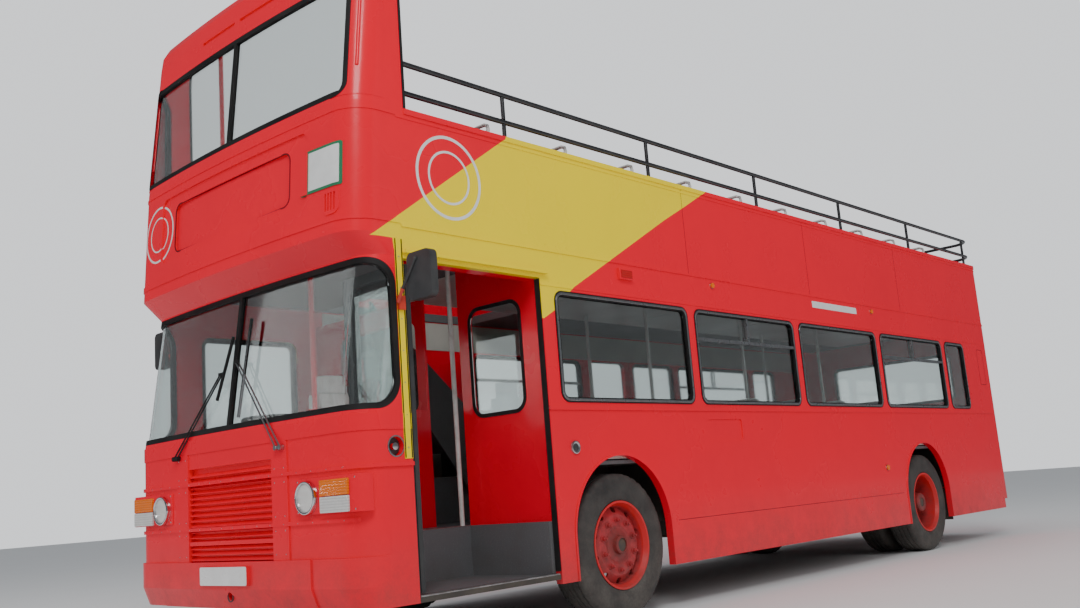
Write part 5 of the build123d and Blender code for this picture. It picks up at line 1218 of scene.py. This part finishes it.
class BUS_OT_front_trim(bpy.types.Operator):
    """Screws of the front, the door control's recess and the edge of the tow hole"""

    bl_idname = "bus.front_trim"
    bl_label = "Front trim"

    CONTROL_Y, CONTROL_Z = -4.43, 1.17

    def execute(self, context):
        screws, metal = Shape(), Shape()
        for side in (-1, 1):
            for z in (0.852, 1.018):
                screws.rivet((side * 0.712, TRAY_Y, z), AHEAD, 0.006)
                screws.rivet((side * 1.215, TRAY_Y + 0.012, z), AHEAD, 0.006)
            for x in (0.50, 0.59):
                for z in (0.63, 0.76, 0.84, 1.03, 1.11, 1.23):
                    screws.rivet(on_front(side * x, z, 0.008), AHEAD, 0.0045)
            for step in range(9):
                for z in (1.073, 0.794):
                    screws.rivet(on_front(side * (0.06 + 0.13 * step), z, 0.012), AHEAD, 0.0035)
        y, z = self.CONTROL_Y, self.CONTROL_Z
        metal.spin((HALF - 0.0345, y, z), RIGHT, [(0.0, 0.051), (0.0015, 0.051), (0.0015, 0.0)], 40, mark=1)
        metal.spin((HALF - 0.009, y, z), RIGHT, [(0.0, 0.019), (0.004, 0.02), (0.007, 0.014), (0.007, 0.0)])
        metal.ring(at_x(HALF + 0.0003), y, z, (0.060, 0.052), (0.002, 0, 0))
        metal.ring(at_y(-4.728), 0.03, 0.397, (0.032, 0.0255), (0, -0.004, 0), 32, mark=1)
        screws.build("front_screws", "bright_trim", "lens", smooth=80)
        metal.build("front_fittings", "bright_trim dark_plastic", "lens")
        return {"FINISHED"}


class BUS_OT_pillars(bpy.types.Operator):
    """Painted corner pillars beside the upper screen, with their rubber edge and drain rib"""

    bl_idname = "bus.pillars"
    bl_label = "Corner pillars"

    LOW, HIGH, EDGE_X, BEND = 3.183, 3.947, 1.165, 0.085

    def execute(self, context):
        pillars, edges = Shape(), Shape()
        steps = [self.BEND * (1 - cos(radians(15 * step))) for step in range(7)]
        levels = [self.LOW + step for step in steps] + [self.HIGH - step for step in reversed(steps)]
        places = [(z, self.start(z)) for z in levels]
        for side in (-1, 1):
            rings = [self.ring(side, z, start, 90, 0.002, 14, True) for z, start in places]
            strips = [self.ring(side, z, start - 8, start + 1, 0.0035, 4, False) for z, start in places]
            pillars.loft(rings, closed=False)
            edges.loft(strips, closed=False)
            pillars.tube([self.point(side, z, 50, 0.0) for z in (3.365, 3.6, 3.8, self.HIGH)], 0.0115, 12)
        pillars.build("corner_pillars", "coach_paint", "red_paint", smooth=50)
        edges.build("pillar_rubbers", "black_rubber", "rubber", smooth=50)
        return {"FINISHED"}

    def start(self, z):
        """Angle round the corner, in degrees, where the pillar starts at a height."""
        near = max(self.BEND - min(z - self.LOW, self.HIGH - z), 0.0)
        x = self.EDGE_X - (self.BEND - sqrt(self.BEND ** 2 - near ** 2))
        return degrees(asin((x - HALF + FRONT_CORNER) / FRONT_CORNER))

    def point(self, side, z, angle, proud):
        """A point on the corner of the upper front."""
        reach, turn = FRONT_CORNER + proud, radians(angle)
        y = on_front(HALF - 1e-6, z).y
        return Vector((side * (HALF - FRONT_CORNER + reach * sin(turn)), y - reach * cos(turn), z))

    def ring(self, side, z, start, end, proud, steps, back):
        angles = [start + (end - start) * step / steps for step in range(steps + 1)]
        outer = [self.point(side, z, angle, proud) for angle in angles]
        inner = [self.point(side, z, angle, 0.0004) for angle in angles]
        if back:
            y = max(outer[-1].y + 0.004, DOME_BACK_Y - 0.139)
            outer.append(Vector((side * (HALF + proud), y, z)))
            inner.append(Vector((side * (HALF + 0.0004), y, z)))
        return outer + inner[::-1]


class BUS_OT_side_trim(bpy.types.Operator):
    """Filler, access flaps, lamp bezels and side repeaters"""

    bl_idname = "bus.side_trim"
    bl_label = "Side fittings"

    # Access flaps as (side, front Y, rear Y, bottom Z, top Z), and bezels as (Y, Z, radius)
    FLAPS = ((-1, -3.9, -3.15, 0.42, 0.98), (-1, 0.95, 1.65, 0.52, 0.92), (1, 4.30, 4.47, 1.71, 2.12))
    BEZELS = ((-1.15, 2.37, 0.023), (1.65, 2.37, 0.023), (1.563, 0.85, 0.027))
    REPEATER_Y = -2.267
    FILLER = ((-0.006, 0.044), (0.003, 0.042), (0.005, 0.036), (0.001, 0.030), (0.001, 0.02))

    # Steps of a repeater as (low, high) out from the side, half length, (low, high) Z and finish
    REPEATER = ((0.0002, 0.024, 0.075, 2.306, 2.386, 0), (0.024, 0.029, 0.062, 2.318, 2.374, 1))

    def execute(self, context):
        metal, seams, dark, repeaters = Shape(), Shape(), Shape(), Shape()
        filler = (HALF + 0.0072, -2.947, 1.133)
        metal.spin(filler, RIGHT, self.FILLER, 40)
        dark.spin(filler, RIGHT, [(0.0005, 0.0265), (0.003, 0.022), (0.003, 0.0)])
        for side, *flap in self.FLAPS:
            x = side * (HALF + 0.0003)
            seams.rim(at_x(x), flap, 0.02, 0.004, (side * 0.0006, 0, 0), 4)
            y0, y1, z0, z1 = flap
            if y1 - y0 < 0.3:
                continue
            for y in (y0 + 0.09, y1 - 0.09):
                metal.spin((x, y, z0 + 0.05), (side, 0, 0), [(0.0, 0.014), (0.003, 0.012), (0.003, 0.0)], 20)
                dark.box((x, y - 0.035, z1 - 0.006), (x + side * 0.006, y + 0.035, z1 + 0.008))
        for _, side in SIDES:
            put = at_x(side * (HALF + 0.0004))
            for y, z, radius in self.BEZELS:
                metal.ring(put, y, z, (radius, radius - 0.004), (side * 0.006, 0, 0), 32)
            for x0, x1, reach, z0, z1, mark in self.REPEATER:
                repeaters.box((side * (HALF + x0), self.REPEATER_Y - reach, z0),
                              (side * (HALF + x1), self.REPEATER_Y + reach, z1), mark)
        repeaters.build("side_repeaters", "coach_paint red_lens", "red_paint", bevel=0.003)
        metal.build("side_metalwork", "bright_trim", "lens")
        seams.build("flap_seams", "seam_shadow", "red_paint")
        dark.build("flap_hinges", "dark_plastic", "black_steel")
        return {"FINISHED"}


class BUS_OT_entrance(bpy.types.Operator):
    """Step edges, rubbers of the doorway and its leaves, a pole and the frame of the bulkhead window"""

    bl_idname = "bus.entrance"
    bl_label = "Entrance"

    def execute(self, context):
        edge, rubber, rails = Shape(), Shape(), Shape()
        front, rear = DOOR_FRONT_Y + 0.012, DOOR_REAR_Y - 0.012
        edge.box((1.195, front, STEP_Z + 0.0003), (1.2448, rear, STEP_Z + 0.005))
        for index in range(5):
            x = 1.201 + index * 0.0085
            edge.box((x, front, STEP_Z + 0.005), (x + 0.004, rear, STEP_Z + 0.0075))
        edge.box((0.42, front, FLOOR_Z + 0.0003), (0.479, DOOR_REAR_Y - 0.035, FLOOR_Z + 0.004))
        for z in (1.16, 1.34, 1.52, 1.70, 1.88, 2.06, 2.24):
            edge.rivet((HALF + 0.0042, -4.345, z), RIGHT, 0.005)
        for y in (-4.368, -4.322):
            rubber.box((HALF + 0.004, y - 0.003, 1.105), (HALF + 0.0065, y + 0.003, 2.345))
        for y, way in ((DOOR_REAR_Y, -1), (DOOR_FRONT_Y, 1)):
            rubber.box((HALF - 0.048, y + way * 0.0003, STEP_Z + 0.02),
                       (HALF - 0.004, y + way * 0.0045, DOOR_HEAD_Z - 0.004))
        rubber.rim(at_y(DOOR_REAR_Y - 0.0002), (0.545, 1.055, 1.385, 2.145), 0.105, 0.027, (0, 0.0025, 0), 8)
        rails.tube([(0.47, DOOR_REAR_Y - 0.09, z) for z in (FLOOR_Z + 0.002, CEILING_Z - 0.002)], 0.0165, 14)
        edge.build("step_edges", "step_edge", "floor")
        rubber.build("door_rubbers", "black_rubber", "rubber")
        rails.build("entrance_rails", "white_tube", "black_steel", smooth=60)
        for name in ("entrance_front_leaf", "entrance_rear_leaf"):
            low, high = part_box(name)
            trim = Shape()
            for x in (low.x + 0.012, low.x + 0.028):
                trim.box((x, low.y - 0.0005, low.z + 0.05), (x + 0.006, high.y + 0.0005, high.z - 0.05))
            trim.build(name + "_rubbers", "black_rubber", "rubber", name)
        return {"FINISHED"}


class BUS_OT_rear_trim(bpy.types.Operator):
    """Rear lamps' bezels and lenses, the lid's handles and the rear window's trim"""

    bl_idname = "bus.rear_trim"
    bl_label = "Rear trim"

    LAMP_LENS = ((0.0, 0.0405), (0.005, 0.036), (0.009, 0.02), (0.010, 0.0))
    LOCK = ((0.0, 0.02), (0.006, 0.018), (0.006, 0.0))

    def execute(self, context):
        bezels, lid = Shape(), Shape()
        for side in (-1, 1):
            for z, mark in ((1.48, 2), (1.59, 2), (1.70, 3)):
                bezels.ring(at_y(REAR_Y + 0.0003), side * 1.01, z, (0.047, 0.041), (0, 0.006, 0), 40)
                bezels.spin((side * 1.01, REAR_Y + 0.0002, z), BEHIND, self.LAMP_LENS, mark=mark)
            bezels.ring(at_y(REAR_Y + 0.0003), side * 0.86, 0.43, (0.036, 0.0), (0, 0.004, 0), 32, mark=2)
            lid.box((side * 0.80 - 0.05, REAR_Y - 0.0018, 0.62), (side * 0.80 + 0.05, REAR_Y + 0.010, 0.645))
            lid.spin((side * 0.80, REAR_Y - 0.0018, 0.70), BEHIND, self.LOCK, 24)
        bezels.rim(at_y(REAR_Y + 0.0052), (-0.772, 0.772, 1.593, 2.157), 0.067, 0.014, (0, 0.003, 0))
        bezels.build("rear_bezels", "bright_trim dark_plastic red_lens amber_lens", "lens")
        lid.build("lid_handles", "bright_trim", "lens", "engine_lid", bevel=0.003)
        return {"FINISHED"}


class BUS_OT_cab(bpy.types.Operator):
    """Dials, switches and the ticket machine of the cab"""

    bl_idname = "bus.cab"
    bl_label = "Cab fittings"

    def execute(self, context):
        dials, boxes = Shape(), Shape()
        tilt = Vector((0, 0.80, 0.60)).normalized()
        for index, radius in enumerate((0.035, 0.052, 0.052, 0.035)):
            centre = (-0.70 + index * 0.095, -4.385, 1.330)
            face = (0.003, radius - 0.008)
            dials.spin(centre, tilt, [(0.0, radius), (0.008, radius), (0.008, radius - 0.006), face])
            dials.spin(centre, tilt, [face, (0.0035, 0.0)], mark=1)
        for index in range(8):
            dials.box((-0.30 + index * 0.035, -4.33, 1.238), (-0.278 + index * 0.035, -4.305, 1.262), mark=1)
        boxes.box((-0.02, -4.10, 1.502), (0.12, -3.86, 1.60))
        boxes.box((0.0, -4.06, 1.60), (0.10, -3.90, 1.72))
        dials.build("cab_dials", "bright_trim dark_plastic", "dark_plastic")
        boxes.build("ticket_machine", "white_tube", "dark_plastic", bevel=0.012, segments=3)
        return {"FINISHED"}


class BUS_OT_stage(bpy.types.Operator):
    """Pale floor, soft studio light and the camera"""

    bl_idname = "bus.stage"
    bl_label = "Stage"

    # Camera place, picture axes and focal length in pixels of a 1080 wide picture
    EYE = (5.743, -8.125, 0.860)
    RIGHT = (0.72893168, 0.68046762, -0.07498283)
    DOWN = (-0.17484163, 0.07914954, -0.98141008)
    FORWARD = (-0.66188293, 0.72849102, 0.17666868)
    FOCAL, PICTURE_WIDTH, SENSOR = 1049.71, 1080.0, 36.0

    # Lamps as (name, place, aim, size, power)
    LAMPS = (
        ("Key", (9.0, -11.0, 11.0), (0.5, -2.0, 1.6), 5.0, 900.0),
        ("Side fill", (13.0, 3.0, 6.0), (0.0, 1.0, 1.8), 7.0, 300.0),
        ("Front fill", (-7.0, -12.0, 5.0), (0.0, -3.0, 2.0), 6.0, 260.0),
        ("Top", (0.0, 0.0, 12.0), (0.0, 0.0, 0.0), 8.0, 260.0),
    )

    # Strength of the sky as light, as seen behind the bus, its share through glass, and what reflections lose
    SKY, SEEN_SKY, THROUGH_GLASS, SHINE_LOSS = 0.52, 1.15, 0.7, -0.38

    def execute(self, context):
        mesh = bpy.data.meshes.new("studio_floor")
        mesh.from_pydata([(-60, -60, 0), (60, -60, 0), (60, 60, 0), (-60, 60, 0)], [], [(0, 1, 2, 3)])
        mesh.materials.append(MATERIALS["studio_floor"])
        ground = link("studio_floor", mesh)
        self.sky(context)
        for name, place_at, aim, size, power in self.LAMPS:
            light = bpy.data.lights.new(name, "AREA")
            light.shape = "DISK"
            light.size = size
            light.energy = power
            lamp = link(name, light)
            lamp.visible_glossy = name == "Key"
            lamp.location = place_at
            lamp.rotation_euler = (Vector(aim) - Vector(place_at)).to_track_quat("-Z", "Y").to_euler()
        lens = bpy.data.cameras.new("Photo view")
        lens.sensor_width = self.SENSOR
        lens.lens = self.FOCAL * self.SENSOR / self.PICTURE_WIDTH
        lens.clip_end = 300.0
        camera = link("Photo view", lens)
        turn = Matrix((Vector(self.RIGHT), -Vector(self.DOWN), -Vector(self.FORWARD))).transposed()
        camera.matrix_world = Matrix.Translation(self.EYE) @ turn.to_4x4()
        context.scene.camera = camera
        return {"FINISHED"}

    def sky(self, context):
        """A pale sky that is weaker in reflections than as light."""
        world = bpy.data.worlds.new("Studio sky")
        world.use_nodes = True
        tree = world.node_tree
        soft = tree.nodes["Background"]
        soft.inputs["Color"].default_value = (0.90, 0.94, 1.0, 1.0)
        pale = add(tree, "ShaderNodeBackground",
                   {"Color": (0.93, 0.95, 0.98, 1.0), "Strength": self.SEEN_SKY})
        ray = add(tree, "ShaderNodeLightPath").outputs
        through = calc(tree, "MULTIPLY", ray["Is Transmission Ray"], self.THROUGH_GLASS)
        seen = calc(tree, "MAXIMUM", ray["Is Camera Ray"], through)
        shine = calc(tree, "MULTIPLY", ray["Is Glossy Ray"], self.SHINE_LOSS)
        tree.links.new(calc(tree, "ADD", shine, self.SKY), soft.inputs["Strength"])
        both = add(tree, "ShaderNodeMixShader", {"Fac": seen, 1: soft.outputs[0], 2: pale.outputs[0]})
        tree.links.new(both.outputs[0], tree.nodes["World Output"].inputs["Surface"])
        context.scene.world = world


OPERATORS = (BUS_OT_finishes, BUS_OT_window_trim, BUS_OT_seams, BUS_OT_signs, BUS_OT_roundels,
             BUS_OT_headlamps, BUS_OT_wheels, BUS_OT_mirrors, BUS_OT_seats, BUS_OT_driver_seat,
             BUS_OT_saloon, BUS_OT_front_trim, BUS_OT_pillars, BUS_OT_side_trim, BUS_OT_entrance,
             BUS_OT_rear_trim, BUS_OT_cab, BUS_OT_stage)


class BUS_PT_panel(bpy.types.Panel):
    """Lists the steps that dress the bus"""

    bl_label = "Open Top Bus"
    bl_idname = "BUS_PT_panel"
    bl_space_type = "VIEW_3D"
    bl_region_type = "UI"
    bl_category = "Bus"

    def draw(self, context):
        for name in BusSettings.__annotations__:
            self.layout.prop(context.scene.bus_settings, name)
        for step in OPERATORS:
            self.layout.operator(step.bl_idname)


def register():
    for item in (BusSettings, *OPERATORS, BUS_PT_panel):
        bpy.utils.register_class(item)
    bpy.types.Scene.bus_settings = bpy.props.PointerProperty(type=BusSettings)


def unregister():
    del bpy.types.Scene.bus_settings
    for item in (BUS_PT_panel, *reversed(OPERATORS), BusSettings):
        bpy.utils.unregister_class(item)


def main():
    register()
    for step in OPERATORS:
        group, name = step.bl_idname.split(".")
        getattr(getattr(bpy.ops, group), name)()
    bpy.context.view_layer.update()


if __name__ == "__main__":
    main()
